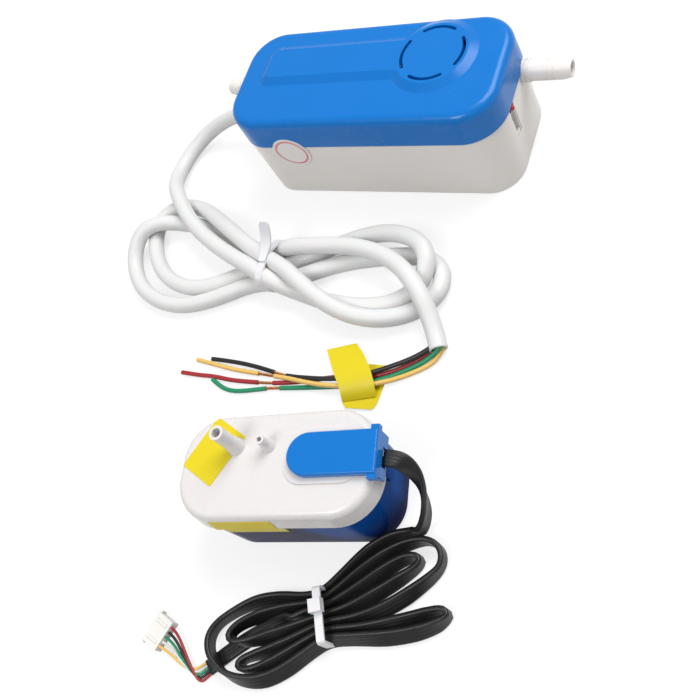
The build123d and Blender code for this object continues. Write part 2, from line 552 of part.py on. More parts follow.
SHELL = 1.5                       # sensor cover's wall
COVER_HIGH = LID_TOP + 3.8
with BuildPart() as sensor_cover:
    with BuildSketch(tank_unit.offset(LID_TOP + 0.62)):
        with Locations(((COVER_LEFT + COVER_HALF + COVER_RIGHT) / 2, COVER_MID)):
            Rectangle(COVER_RIGHT - COVER_LEFT - COVER_HALF, 2 * COVER_HALF)
        with Locations((COVER_LEFT + COVER_HALF, COVER_MID)):
            Circle(COVER_HALF)
    extrude(amount=COVER_HIGH - LID_TOP - 0.62)
    fillet(sensor_cover.edges().group_by(Axis.Z)[-1], 1.0)
    # end skirt that folds down over the lid's end
    with BuildSketch(across(tank_unit, LID_LENGTH / 2 + 0.1, COVER_MID, 0)):
        with Locations((0, (COVER_HIGH + 36.4) / 2)):
            Rectangle(2 * COVER_HALF, COVER_HIGH - 38.4)
    extrude(amount=COVER_RIGHT - LID_LENGTH / 2 - 0.1)
    for y in (-COVER_HALF - 0.9, COVER_HALF + 0.9):
        with BuildSketch(across(tank_unit, COVER_RIGHT - 3.6, COVER_MID + y, 0)):
            with Locations((0, COVER_HIGH - 2.4)):
                Rectangle(2.0, 3.2)
        extrude(amount=3.6)
    with BuildSketch(tank_unit.offset(LID_TOP)):
        with Locations(((COVER_LEFT + COVER_RIGHT - 3.2) / 2, COVER_MID)):
            RectangleRounded(COVER_RIGHT - COVER_LEFT - 3.2 - 2 * SHELL, 2 * (COVER_HALF - SHELL), 7.0)
    extrude(amount=COVER_HIGH - SHELL - LID_TOP, mode=Mode.SUBTRACT)
    # mouth for the flat lead
    with BuildSketch(across(tank_unit, LID_LENGTH / 2 - 6, LEAD_EXIT_Y, LEAD_EXIT_Z)):
        Rectangle(LEAD_WIDE + 1.0, LEAD_THICK + 1.0)
    extrude(amount=12.0, mode=Mode.SUBTRACT)
keep("sensor_cover", sensor_cover)

with BuildPart() as sensor_board:
    with BuildSketch(tank_unit.offset(LID_TOP + 0.65)):
        with Locations((26.0, COVER_MID)):
            Rectangle(26.0, 13.0)
    extrude(amount=1.0)
    with BuildSketch(tank_unit.offset(LID_TOP + 1.6)):
        with Locations((17.0, COVER_MID), (26.0, COVER_MID - 3), (26.0, COVER_MID + 3)):
            Rectangle(3.0, 1.8)
    extrude(amount=0.6)
keep("sensor_board", sensor_board)

CAGE_ROOF = LID_TOP - PLATE - 0.05
with BuildPart() as float_cage:
    with BuildSketch(tank_unit.offset(CAGE_FOOT)):
        with Locations((CAGE_X, 0)):
            Circle(CAGE_RADIUS)
    extrude(amount=CAGE_ROOF - CAGE_FOOT)
    with BuildSketch(tank_unit.offset(CAGE_FOOT + 1.8)):
        with Locations((CAGE_X, 0)):
            Circle(CAGE_RADIUS - 1.6)
    extrude(amount=30.0, mode=Mode.SUBTRACT)
    with BuildSketch(tank_unit.offset(CAGE_FOOT + 1.0)):
        with Locations((CAGE_X, 0)):
            Circle(2.4)
    extrude(amount=CAGE_ROOF - CAGE_FOOT - 1.0)
    with BuildSketch(tank_unit.offset(CAGE_FOOT - 1)):
        with Locations((CAGE_X, 0)):
            with PolarLocations(9.4, 6):
                Circle(3.4)
    extrude(amount=5.0, mode=Mode.SUBTRACT)
    with BuildSketch(tank_unit.offset(CAGE_FOOT + 4)):
        with Locations((CAGE_X, 0)):
            with PolarLocations(CAGE_RADIUS, 8, start_angle=22.5):
                Rectangle(8.0, 5.4)
    extrude(amount=15.0, mode=Mode.SUBTRACT)
keep("float_cage", float_cage)

FLOAT_LOW = CAGE_FOOT + 2.1
with BuildPart() as float_body:
    with BuildSketch(tank_unit.offset(FLOAT_LOW)):
        with Locations((CAGE_X, 0)):
            Circle(FLOAT_RADIUS)
            Circle(2.8, mode=Mode.SUBTRACT)
    extrude(amount=FLOAT_HEIGHT)
    chamfer(float_body.edges().filter_by(GeomType.CIRCLE).sort_by(SortBy.RADIUS)[-2:], 0.8)
    with BuildSketch(tank_unit.offset(FLOAT_LOW + FLOAT_HEIGHT - 4.2)):
        with Locations((CAGE_X, 0)):
            Circle(7.0)
            Circle(2.8, mode=Mode.SUBTRACT)
    extrude(amount=6.0, mode=Mode.SUBTRACT)
keep("float", float_body)

with BuildPart() as float_magnet:
    with BuildSketch(tank_unit.offset(FLOAT_LOW + FLOAT_HEIGHT - 4.15)):
        with Locations((CAGE_X, 0)):
            Circle(6.9)
            Circle(3.2, mode=Mode.SUBTRACT)
    extrude(amount=4.0)
keep("float_magnet", float_magnet)

with BuildPart() as suction_strainer:
    with BuildSketch(tank_unit.offset(12.0)):
        with Locations((OUTLET_X, OUTLET_Y)):
            Circle(1.9)
    extrude(amount=CAGE_ROOF - 12.0)
    with BuildSketch(tank_unit.offset(3.0)):
        with Locations((OUTLET_X, OUTLET_Y)):
            Circle(4.8)
    extrude(amount=9.5)
    with BuildSketch(tank_unit.offset(2.0)):
        with Locations((OUTLET_X, OUTLET_Y)):
            Circle(3.8)
    extrude(amount=9.0, mode=Mode.SUBTRACT)
    with BuildSketch(tank_unit.offset(2.0)):
        with Locations((OUTLET_X, OUTLET_Y)):
            Circle(1.1)
    extrude(amount=50.0, mode=Mode.SUBTRACT)
    with BuildSketch(tank_unit.offset(4.6)):
        with Locations((OUTLET_X, OUTLET_Y)):
            with PolarLocations(4.3, 8):
                Rectangle(3.0, 1.2)
    extrude(amount=5.6, mode=Mode.SUBTRACT)
keep("suction_strainer", suction_strainer)


def tank_block(grow):
    """The closed reservoir's outer form, grown outwards a little."""
    with BuildPart() as block:
        with BuildSketch(tank_unit):
            RectangleRounded(FOOT_LENGTH + 2 * grow, FOOT_WIDTH + 2 * grow, FOOT_CORNER)
        with BuildSketch(tank_unit.offset(TANK_RIM)):
            RectangleRounded(TANK_LENGTH + 2 * grow, TANK_WIDTH + 2 * grow, LID_CORNER - 1.4)
        loft()
        with BuildSketch(tank_unit.offset(LID_EDGE)):
            RectangleRounded(LID_LENGTH + 2 * grow, LID_WIDTH + 2 * grow, LID_CORNER)
        with BuildSketch(tank_unit.offset(LID_TOP)):
            RectangleRounded(LID_LENGTH - 2.4 + 2 * grow, LID_WIDTH - 2.4 + 2 * grow, LID_CORNER - 1.0)
        loft()
    return block.part


# a paper label laid over the lid's skirt and down the tank, cut through at the lid's edge
LABEL_X, LABEL_LONG, LABEL_LOW, LABEL_HIGH = -14.5, 30.0, 23.0, 41.5
for name, low, high in (("label_lower", LABEL_LOW, LID_EDGE - 0.3), ("label_upper", LID_EDGE, LABEL_HIGH)):
    with BuildPart() as label:
        with BuildSketch(lengthwise(tank_unit, LABEL_X, -LID_WIDTH / 2 + 6, (low + high) / 2)):
            Rectangle(LABEL_LONG, high - low)
        extrude(amount=9.0)
        add(tank_block(FILM), mode=Mode.INTERSECT)
        add(tank_block(0), mode=Mode.SUBTRACT)
    keep(name, label)

def lid_block(grow):
    """The lid's outer form, grown outwards a little."""
    with BuildPart() as block:
        with BuildSketch(tank_unit.offset(LID_EDGE)):
            RectangleRounded(LID_LENGTH + 2 * grow, LID_WIDTH + 2 * grow, LID_CORNER)
        with BuildSketch(tank_unit.offset(LID_TOP + grow)):
            RectangleRounded(LID_LENGTH - 2.4 + 2 * grow, LID_WIDTH - 2.4 + 2 * grow, LID_CORNER - 1.0)
        loft()
        fillet(block.edges().group_by(Axis.Z)[-1], 3.4)
    return block.part


with BuildPart() as lid_label:
    with BuildSketch(tank_unit.offset(LID_TOP - 2.4)):
        with Locations(Location((-30.0, 7.0), 57)):
            RectangleRounded(26.0, 19.0, 0.8)
        with Locations((INLET_X, INLET_Y)):
            Circle(4.5, mode=Mode.SUBTRACT)
    extrude(amount=4.0)
    add(lid_block(FILM), mode=Mode.INTERSECT)
    add(lid_block(0), mode=Mode.SUBTRACT)
keep("lid_label", lid_label)


# ======================================================================================
# Cords
# ======================================================================================
def bend_radii(points):
    """Largest arc at each corner: 0.45 of the shorter run over the tangent of half the turn."""
    radii = []
    for before, at, after in zip(points, points[1:], points[2:]):
        turn = (at - before).get_angle(after - at)
        shorter = min((at - before).length, (after - at).length)
        radii.append(0.45 * shorter / tan(radians(turn) / 2))
    return radii


def cord_path(name, route):
    points = [Vector(*point) for point in route]
    radii = bend_radii(points)
    print(name, "bend radii", [round(radius, 1) for radius in radii])
    return FilletPolyline(*points, radius=radii)


def round_cord(name, route, width):
    path = cord_path(name, route)
    with BuildPart() as cord:
        with BuildSketch(Plane(origin=path @ 0, z_dir=path % 0)):
            Circle(width / 2)
        sweep(path=path)
    print(name, "length", round(path.length, 1), "volume ratio",
          round(cord.part.volume / (path.length * 3.14159 * width ** 2 / 4), 4))
    return cord


keep("mains_cord", round_cord("mains_cord", CORD_ROUTE, CORD))
keep("mains_cord_tail", round_cord("mains_cord_tail", TAIL_ROUTE, CORD))
for name, route in CORE_ROUTES.items():
    keep(name, round_cord(name, route, CORE))

flat_path = cord_path("sensor_lead", LEAD_ROUTE)
with BuildPart() as sensor_lead:
    with BuildSketch(Plane(origin=flat_path @ 0, x_dir=tank_unit.y_dir, z_dir=flat_path % 0)):
        RectangleRounded(LEAD_WIDE, LEAD_THICK, LEAD_THICK / 2 - 0.05)
    sweep(path=flat_path)
print("sensor_lead length", round(flat_path.length, 1), "volume", round(sensor_lead.part.volume, 1))
keep("sensor_lead", sensor_lead)

# figure-eight hank of the mains cord: two open lobes and a tied waist
HANK_LOW, HANK_HIGH = 0.1, 17.8
TIE_X, TIE_THICK = -56.5, 1.2
with BuildPart() as mains_cord_hank:
    with BuildSketch(Plane.XY.offset(HANK_LOW)):
        with Locations(Location((-110.0, 20.5), 12)):
            Ellipse(42.0, 35.0)
        with Locations(Location((3.0, 17.5), 0)):
            Ellipse(46.0, 27.5)
        with Locations((-55.0, 14.0)):
            Rectangle(56.0, 27.0)
        with Locations(Location((-113.0, 20.5), 8)):
            Ellipse(25.0, 17.0, mode=Mode.SUBTRACT)
        with Locations(Location((6.0, 16.5), 0)):
            Ellipse(28.0, 10.0, mode=Mode.SUBTRACT)
    extrude(amount=HANK_HIGH - HANK_LOW)
    with BuildSketch(Plane.XY):
        with Locations((TIE_X, 14.0)):
            Rectangle(5.4, 32.0)
    extrude(amount=TIE_THICK + 0.15, mode=Mode.SUBTRACT)
keep("mains_cord_hank", mains_cord_hank)

with BuildPart() as cord_tie:
    with BuildSketch(Plane.YZ.offset(TIE_X - 2.3)):
        with Locations((14.0, 9.6)):
            RectangleRounded(29.8, 19.1, 2.4)
            RectangleRounded(27.4, 16.7, 0.3, mode=Mode.SUBTRACT)
    extrude(amount=4.6)
    with BuildSketch(Plane.XY.offset(18.6)):
        with Locations((TIE_X, 19.0)):
            Rectangle(7.0, 7.5)
    extrude(amount=4.4)
    with BuildSketch(Plane.YZ.offset(TIE_X - 2.0)):
        with BuildLine():
            Polyline((22.0, 20.2), (36.0, 24.2), (36.0, 25.6), (22.0, 21.8), close=True)
        make_face()
    extrude(amount=4.0)
keep("cord_tie", cord_tie)

# flag tag wrapped over the four cores
with BuildPart() as wire_tag:
    with BuildSketch(Plane.YZ.offset(12.0)):
        with BuildLine():
            Polyline((-28.0, 0.05), (-31.5, 0.05), (-34.5, 3.4), (-52.6, 3.4), (-56.2, 0.05), (-62.0, 0.05),
                     (-62.0, 0.4), (-56.4, 0.4), (-52.8, 3.8), (-34.3, 3.8), (-31.3, 0.4), (-28.0, 0.4), close=True)
        make_face()
    extrude(amount=16.0)
keep("wire_tag", wire_tag)

# flat lead folded into a long hank beside the reservoir
LEAD_HANK_TURN = 26.0
with BuildPart() as sensor_lead_hank:
    with BuildSketch(Plane.XY.offset(0.1)):
        with Locations(Location((70.0, -135.5), LEAD_HANK_TURN + 8)):
            Ellipse(31.0, 19.0)
        with Locations(Location((11.0, -167.5), LEAD_HANK_TURN - 4)):
            Ellipse(28.0, 18.0)
        with Locations(Location((42.0, -151.0), LEAD_HANK_TURN)):
            Rectangle(48.0, 21.0)
    extrude(amount=12.5)
    with BuildSketch(Plane.XY):
        with Locations(Location((43.0, -150.5), LEAD_HANK_TURN)):
            Rectangle(4.2, 26.0)
    extrude(amount=1.1, mode=Mode.SUBTRACT)
keep("sensor_lead_hank", sensor_lead_hank)

lead_tie_plane = Plane(origin=(43.0, -150.5, 6.4), x_dir=(-sin(radians(LEAD_HANK_TURN)), cos(radians(LEAD_HANK_TURN)), 0),
                       z_dir=(cos(radians(LEAD_HANK_TURN)), sin(radians(LEAD_HANK_TURN)), 0))
with BuildPart() as lead_tie:
    with BuildSketch(lead_tie_plane.offset(-1.8)):
        with Locations((-0.2, 0.5)):
            RectangleRounded(24.2, 13.6, 2.0)
            RectangleRounded(21.8, 11.6, 0.3, mode=Mode.SUBTRACT)
    extrude(amount=3.6)
    with BuildSketch(lead_tie_plane.offset(-2.8)):
        with Locations((3.0, 8.6)):
            Rectangle(5.6, 3.8)
    extrude(amount=5.6)
keep("lead_tie", lead_tie)

# five-way plug on the lead's end, and its thin cores
PLUG_TURN = -17.0
plug_unit = Plane(origin=(-38.6, -177.4, 0), x_dir=(cos(radians(PLUG_TURN)), sin(radians(PLUG_TURN)), 0), z_dir=(0, 0, 1))
with BuildPart() as lead_plug:
    with BuildSketch(plug_unit.offset(0.1)):
        Rectangle(9.8, SOCKET_TALL - 0.6)
    extrude(amount=SOCKET_WIDE - 1.0)
    with BuildSketch(plug_unit.offset(1.0)):
        with Locations((-4.3, 0)):
            Rectangle(1.3, SOCKET_TALL + 1.2)
    extrude(amount=SOCKET_WIDE - 2.6)
    with BuildSketch(plug_unit.offset(SOCKET_WIDE - 1.0)):
        with GridLocations(1, 8.0, 1, 2):
            Rectangle(7.0, 1.2)
    extrude(amount=0.7)
keep("lead_plug", lead_plug)

core_paths = []
for index in range(5):
    offset = (index - 2) * PIN_PITCH
    route = [Vector(*plug_unit.from_local_coords((4.95, offset, 2.5))),
             Vector(*plug_unit.from_local_coords((10.0, 0.92 * offset, 2.1))),
             Vector(-19.0, -181.4 + 0.75 * offset, 1.5),
             Vector(-12.5, -180.6 + 0.6 * offset, 1.8)]
    core_paths.append(FilletPolyline(*route, radius=bend_radii(route)))
with BuildPart() as lead_cores:
    for path in core_paths:
        with BuildSketch(Plane(origin=path @ 0, z_dir=path % 0)):
            Circle(LEAD_CORE / 2)
        sweep(path=path)
keep("lead_cores", lead_cores)


os.makedirs("parts", exist_ok=True)
for name, part in PARTS:
    export_step(part, f"parts/{name}.step")
print(len(PARTS), "nodes")
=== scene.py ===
import math

import bpy
import numpy as np
from mathutils import Matrix, Vector


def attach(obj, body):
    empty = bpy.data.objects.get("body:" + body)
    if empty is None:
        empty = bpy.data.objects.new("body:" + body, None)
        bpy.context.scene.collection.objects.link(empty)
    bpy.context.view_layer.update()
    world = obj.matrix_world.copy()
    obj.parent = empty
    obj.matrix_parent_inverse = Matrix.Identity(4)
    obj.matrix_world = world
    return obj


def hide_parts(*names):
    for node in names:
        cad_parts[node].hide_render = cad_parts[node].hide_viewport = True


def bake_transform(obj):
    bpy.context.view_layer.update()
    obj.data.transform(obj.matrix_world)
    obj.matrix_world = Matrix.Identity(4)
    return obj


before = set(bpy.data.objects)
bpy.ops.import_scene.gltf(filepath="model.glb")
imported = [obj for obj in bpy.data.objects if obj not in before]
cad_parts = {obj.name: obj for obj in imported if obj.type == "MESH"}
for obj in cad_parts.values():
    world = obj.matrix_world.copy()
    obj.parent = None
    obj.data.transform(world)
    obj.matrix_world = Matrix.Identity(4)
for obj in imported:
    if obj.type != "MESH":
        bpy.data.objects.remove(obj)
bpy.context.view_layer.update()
print("frame loaded", len(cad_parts), "nodes")

mm = 0.001
upward = Vector((0, 0, 1))
white = (1, 1, 1, 1)
# room left between a cord and the floor, in millimetres
floorGap = 0.05


# ---- colour and materials ----------------------------------------------------------
def linear(hexText):
    """A colour written in sRGB hex digits, as linear light with full alpha."""
    parts = [int(hexText[i : i + 2], 16) / 255 for i in (0, 2, 4)]
    lit = [p / 12.92 if p <= 0.04045 else ((p + 0.055) / 1.055) ** 2.4 for p in parts]
    return (*lit, 1.0)


def scaled(colour, factor):
    """The colour made lighter or darker."""
    return (*(min(1.0, c * factor) for c in colour[:3]), 1.0)


def makers(tree):
    """Empties a node tree, and gives the maker of its nodes and the maker of its links."""
    tree.nodes.clear()

    def make(kind, **settings):
        node = tree.nodes.new(kind)
        for key, value in settings.items():
            setattr(node, key, value)
        return node

    return make, tree.links.new


def fill(node, values):
    """Sets a node's inputs, by name or by number, and gives the node back."""
    for key, value in values.items():
        node.inputs[key].default_value = value
    return node


def blank(name):
    """A new node material: (material, node maker, link maker, its Principled shader)."""
    material = bpy.data.materials.new(name)
    material.use_nodes = True
    make, link = makers(material.node_tree)
    shader = make("ShaderNodeBsdfPrincipled")
    out = make("ShaderNodeOutputMaterial")
    link(shader.outputs["BSDF"], out.inputs["Surface"])
    return material, make, link, shader


def mixed(make, link, first, second, share):
    """From one colour to another by share; first may also come from another node."""
    mix = make("ShaderNodeMix", data_type="RGBA")
    if isinstance(first, tuple):
        mix.inputs["A"].default_value = first
    else:
        link(first, mix.inputs["A"])
    mix.inputs["B"].default_value = second
    link(share, mix.inputs["Factor"])
    return mix.outputs["Result"]


def noise(make, link, source, scale, detail, stretch=(1, 1, 1)):
    mapping = fill(make("ShaderNodeMapping"), {"Scale": stretch})
    link(source, mapping.inputs["Vector"])
    texture = fill(make("ShaderNodeTexNoise"), {"Scale": scale, "Detail": detail})
    link(mapping.outputs["Vector"], texture.inputs["Vector"])
    return texture.outputs["Fac"]


def spread(make, link, source, low, high):
    """Spreads the middle of a noise, where most of its values lie, from low to high."""
    bounds = {"From Min": 0.3, "From Max": 0.7, "To Min": low, "To Max": high}
    ranged = fill(make("ShaderNodeMapRange"), bounds)
    link(source, ranged.inputs["Value"])
    return ranged.outputs["Result"]


def grained(make, link, shader, source, strength, depth):
    """Gives the surface a fine grain, its depth in millimetres."""
    bump = fill(make("ShaderNodeBump"), {"Strength": strength, "Distance": depth * mm})
    link(source, bump.inputs["Height"])
    link(bump.outputs["Normal"], shader.inputs["Normal"])


usualLook = {
    "tint": 0.03, "tintScale": 45, "stretch": (1, 1, 1), "bump": 0.12, "depth": 0.05,
    "grain": 2200, "metal": 0.0, "ior": 1.5, "coat": 0.0, "soft": 0.0,
}
roughSwing, roughScale = 0.05, 130
coatRough, softDepth = 0.08, 0.8


def finish(name, ownLook):
    """A finish whose colour, gloss and surface each vary a little over the piece."""
    look = {**usualLook, **ownLook}
    material, make, link, shader = blank(name)
    place = make("ShaderNodeTexCoord").outputs["Object"]
    base, tint, stretch = linear(look["colour"]), look["tint"], look["stretch"]
    blotches = noise(make, link, place, look["tintScale"], detail=4, stretch=stretch)
    colour = mixed(make, link, scaled(base, 1 - tint), scaled(base, 1 + tint), blotches)
    link(colour, shader.inputs["Base Color"])
    wear = noise(make, link, place, roughScale, detail=3, stretch=stretch)
    rough = spread(make, link, wear, look["rough"] - roughSwing, look["rough"] + roughSwing)
    link(rough, shader.inputs["Roughness"])
    grain = noise(make, link, place, look["grain"], detail=2, stretch=stretch)
    grained(make, link, shader, grain, look["bump"], look["depth"])
    fill(shader, {
        "Metallic": look["metal"], "IOR": look["ior"],
        "Coat Weight": look["coat"], "Coat Roughness": coatRough,
        "Subsurface Weight": look["soft"], "Subsurface Scale": softDepth * mm,
    })
    return material


looks = {
    "Glossy blue ABS": {
        "colour": "0A70C2", "rough": 0.24, "ior": 1.36, "tint": 0.025, "bump": 0.06, "grain": 1500,
    },
    "Satin white ABS": {
        "colour": "EBE6E1", "rough": 0.36, "tint": 0.02, "bump": 0.1, "grain": 2600, "soft": 0.08,
    },
    "Glossy white ABS": {
        "colour": "DCD8D7", "rough": 0.26, "tint": 0.02, "bump": 0.06, "coat": 0.15, "soft": 0.08,
    },
    "Natural nylon": {"colour": "E9E7E2", "rough": 0.42, "tint": 0.02, "soft": 0.15, "bump": 0.1},
    "White soft PVC": {
        "colour": "DEDEDD", "rough": 0.44, "tint": 0.02, "soft": 0.12, "bump": 0.14, "grain": 1700,
    },
    "Black soft PVC": {
        "colour": "131314", "rough": 0.42, "tint": 0.12, "bump": 0.2, "grain": 1900,
    },
    "Black rubber": {"colour": "1C1C1E", "rough": 0.62, "tint": 0.15, "bump": 0.25},
    "Red silicone": {"colour": "A8392F", "rough": 0.5, "soft": 0.2},
    "Zinc plated steel": {
        "colour": "A9AAAD", "rough": 0.32, "metal": 1.0, "tint": 0.08, "bump": 0.08,
    },
    "Turned stainless steel": {
        "colour": "B9BABD", "rough": 0.24, "metal": 1.0, "stretch": (40, 1, 1), "grain": 900,
    },
    "Enamelled copper wire": {
        "colour": "A85F2B", "rough": 0.3, "metal": 1.0, "stretch": (60, 1, 1), "grain": 500,
    },
    "Bare copper strand": {"colour": "C98A5A", "rough": 0.35, "metal": 1.0, "tint": 0.1},
    "Tinned brass": {"colour": "CBC8BF", "rough": 0.3, "metal": 1.0},
    "Glass-filled nylon": {"colour": "3A3C40", "rough": 0.55, "tint": 0.1},
    "Epoxy board": {
        "colour": "1B6A44", "rough": 0.35, "coat": 0.3, "tint": 0.12, "tintScale": 400,
    },
    "Relay case": {"colour": "2A62A8", "rough": 0.4},
    "Sleeved can": {"colour": "23252D", "rough": 0.3, "coat": 0.3},
    "Fuse ceramic": {"colour": "D8D4CA", "rough": 0.45},
    "Green terminal block": {"colour": "3A8C58", "rough": 0.45},
    "Foamed polypropylene": {
        "colour": "E2E0DA", "rough": 0.7, "bump": 0.4, "grain": 1300, "depth": 0.12,
    },
    "Bonded ferrite": {"colour": "333335", "rough": 0.65, "tint": 0.15},
    "Nylon tie": {"colour": "E2E2E5", "rough": 0.38, "soft": 0.2},
    "Black core PVC": {"colour": "202022", "rough": 0.38, "tint": 0.1},
    "Red core PVC": {"colour": "A3272E", "rough": 0.38, "tint": 0.06, "soft": 0.05},
    "Green core PVC": {"colour": "178A60", "rough": 0.38, "tint": 0.06, "soft": 0.05},
    "Yellow core PVC": {"colour": "E6BE68", "rough": 0.38, "tint": 0.05, "soft": 0.08},
    "White core PVC": {"colour": "D9D9D6", "rough": 0.38, "tint": 0.04, "soft": 0.08},
    "Yellow paper label": {
        "colour": "DCC80A", "rough": 0.48, "tintScale": 900, "bump": 0.2, "grain": 2600,
    },
}


def smokedTank():
    """Smoked blue plastic, with a painted lighter patch where the white float cage would show
    through the wall.
    """
    # heights count for less than level distances, so the painted patch has a rounded lower edge
    heightShare = 0.47
    # the cage's axis at the lid, so squeezed, and where the painted show-through patch fades, in
    # metres
    cageAtLid, showThroughEdge, showThroughCore = (0.04, -0.0951, 0.0212), 0.0302, 0.0258
    material, make, link, shader = blank("Smoked blue polycarbonate")
    place = make("ShaderNodeTexCoord").outputs["Object"]
    blotches = noise(make, link, place, scale=35, detail=3)
    navy = mixed(make, link, linear("141C48"), linear("18245A"), blotches)
    squeezed = make("ShaderNodeVectorMath", operation="MULTIPLY")
    squeezed.inputs[1].default_value = (1, 1, heightShare)
    link(place, squeezed.inputs[0])
    away = make("ShaderNodeVectorMath", operation="DISTANCE")
    away.inputs[1].default_value = cageAtLid
    link(squeezed.outputs["Vector"], away.inputs[0])
    cageShowThrough = make("ShaderNodeMapRange")
    cageShowThrough.interpolation_type = "SMOOTHSTEP"
    fill(cageShowThrough, {"From Min": showThroughEdge, "From Max": showThroughCore})
    link(away.outputs["Value"], cageShowThrough.inputs["Value"])
    # painted light: a lighter blue where the white cage would show through the smoked wall, not
    # the plastic's own colour
    colour = mixed(make, link, navy, linear("0A4FA2"), cageShowThrough.outputs["Result"])
    link(colour, shader.inputs["Base Color"])
    wear = noise(make, link, place, scale=150, detail=3)
    link(spread(make, link, wear, low=0.14, high=0.24), shader.inputs["Roughness"])
    grain = noise(make, link, place, scale=1400, detail=2)
    grained(make, link, shader, grain, strength=0.08, depth=usualLook["depth"])
    fill(shader, {"IOR": 1.1, "Transmission Weight": 0.1, "Specular IOR Level": 0.12})
    return material


def ringedSeal():
    """White paper disc with one plain coloured ring near its rim; its measures are in metres."""
    sealMiddle, ringRadius, ringHalf = (-0.041, 0.0664, 0.0362), 0.0087, 0.0006
    material, make, link, shader = blank("Coated paper seal")
    place = make("ShaderNodeTexCoord").outputs["Object"]
    away = make("ShaderNodeVectorMath", operation="DISTANCE")
    away.inputs[1].default_value = sealMiddle
    link(place, away.inputs[0])
    onRing = fill(make("ShaderNodeMath", operation="COMPARE"), {1: ringRadius, 2: ringHalf})
    link(away.outputs["Value"], onRing.inputs[0])
    colour = mixed(make, link, linear("EDE9E6"), linear("D98A8E"), onRing.outputs["Value"])
    link(colour, shader.inputs["Base Color"])
    wear = noise(make, link, place, scale=500, detail=3)
    link(spread(make, link, wear, low=0.4, high=0.52), shader.inputs["Roughness"])
    return material


def lampEpoxy():
    """Red epoxy that lets some light through."""
    material, make, link, shader = blank("Red lamp epoxy")
    place = make("ShaderNodeTexCoord").outputs["Object"]
    blotches = noise(make, link, place, scale=800, detail=2)
    colour = mixed(make, link, linear("C8201C"), linear("E0423A"), blotches)
    link(colour, shader.inputs["Base Color"])
    fill(shader, {"Roughness": 0.18, "Transmission Weight": 0.3})
    return material


materials = {name: finish(name, look) for name, look in looks.items()}
materials["Smoked blue polycarbonate"] = smokedTank()
materials["Coated paper seal"] = ringedSeal()
materials["Red lamp epoxy"] = lampEpoxy()

# the CAD pieces that are shown or copied; the others are made here, each with its own finish
nodeFinishes = {
    "Satin white ABS": ["base_shell", "inlet_barb", "outlet_barb"],
    "Glossy white ABS": ["tank_lid"],
    "Glossy blue ABS": ["top_cover", "sensor_cover"],
    "Zinc plated steel": ["cover_screws", "coil_yoke"],
    "Coated paper seal": ["seam_seal"],
    "Black rubber": [
        "inlet_hose", "outlet_hose", "inlet_rubber_mount", "outlet_rubber_mount", "lid_gasket",
    ],
    "Glass-filled nylon": ["inlet_head", "outlet_head", "coil_bobbin"],
    "Red silicone": ["inlet_valve", "outlet_valve"],
    "Turned stainless steel": ["pump_tube", "plunger", "return_spring", "buffer_spring"],
    "Enamelled copper wire": ["coil_winding"],
    "White soft PVC": ["cord_grip"],
    "Epoxy board": ["control_board", "sensor_board"],
    "Relay case": ["relay"],
    "Sleeved can": ["filter_capacitor"],
    "Fuse ceramic": ["fuse"],
    "Green terminal block": ["terminal_block"],
    "Natural nylon": ["sensor_socket", "float_cage", "suction_strainer", "lead_plug"],
    "Tinned brass": ["socket_pins"],
    "Smoked blue polycarbonate": ["tank"],
    "Foamed polypropylene": ["float"],
    "Bonded ferrite": ["float_magnet"],
    "Yellow paper label": ["label_lower", "label_upper", "lid_label"],
    "Nylon tie": ["lead_tie"],
}


def paint(piece, finishName):
    piece.data.materials.clear()
    piece.data.materials.append(materials[finishName])
    return piece


for finishName, names in nodeFinishes.items():
    for name in names:
        paint(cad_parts[name], finishName)
print("materials", len(materials))


# ---- lines, bands and tubes ----------------------------------------------------------
def stand(name, data):
    """A new object with this mesh, curve, light or camera, in the scene."""
    piece = bpy.data.objects.new(name, data)
    bpy.context.scene.collection.objects.link(piece)
    return piece


def lineCurve(name, points, radius):
    """Open quadratic NURBS curve through a route in millimetres."""
    data = bpy.data.curves.new(name, "CURVE")
    data.dimensions = "3D"
    data.twist_mode = "MINIMUM"
    data.resolution_u = 8
    data.bevel_depth = radius * mm
    data.bevel_resolution = 6
    data.use_fill_caps = radius > 0
    spline = data.splines.new("NURBS")
    spline.points.add(len(points) - 1)
    for point, place in zip(spline.points, points):
        point.co = (place[0] * mm, place[1] * mm, place[2] * mm, 1.0)
    spline.order_u = 3
    spline.use_endpoint_u = True
    return stand(name, data)


def lineOf(points):
    """The line that such a curve follows, in millimetres."""
    samePlace = 1e-4
    guide = lineCurve("guide", points, 0.0)
    bpy.context.view_layer.update()
    seenGuide = guide.evaluated_get(bpy.context.evaluated_depsgraph_get())
    mesh = bpy.data.meshes.new_from_object(seenGuide)
    line = np.array([v.co for v in mesh.vertices], float) / mm
    bpy.data.meshes.remove(mesh)
    data = guide.data
    bpy.data.objects.remove(guide)
    bpy.data.curves.remove(data)
    apart = np.r_[True, np.linalg.norm(np.diff(line, axis=0), axis=1) > samePlace]
    return line[apart]


def along(line):
    """How far along the line each of its points lies."""
    return np.r_[0.0, np.cumsum(np.linalg.norm(np.diff(line, axis=0), axis=1))]


def evenly(line, step):
    """The line again, with points about a step apart."""
    reach = along(line)
    marks = np.linspace(0.0, reach[-1], int(round(reach[-1] / step)) + 1)
    return np.stack([np.interp(marks, reach, line[:, k]) for k in range(3)], axis=1)


def stretchOf(line, start, end):
    """The part of a line between two distances along it."""
    clear = 0.2
    reach = along(line)
    inside = line[(reach > start + clear) & (reach < end - clear)]
    ends = [
        np.array([np.interp(mark, reach, line[:, k]) for k in range(3)]) for mark in (start, end)
    ]
    return np.vstack([ends[0], inside, ends[1]])


def meshPiece(name, verts, faces, finishName):
    mesh = bpy.data.meshes.new(name)
    mesh.from_pydata([tuple(v) for v in verts], [], faces)
    mesh.validate()
    mesh.update()
    mesh.shade_smooth()
    return paint(stand(name, mesh), finishName)


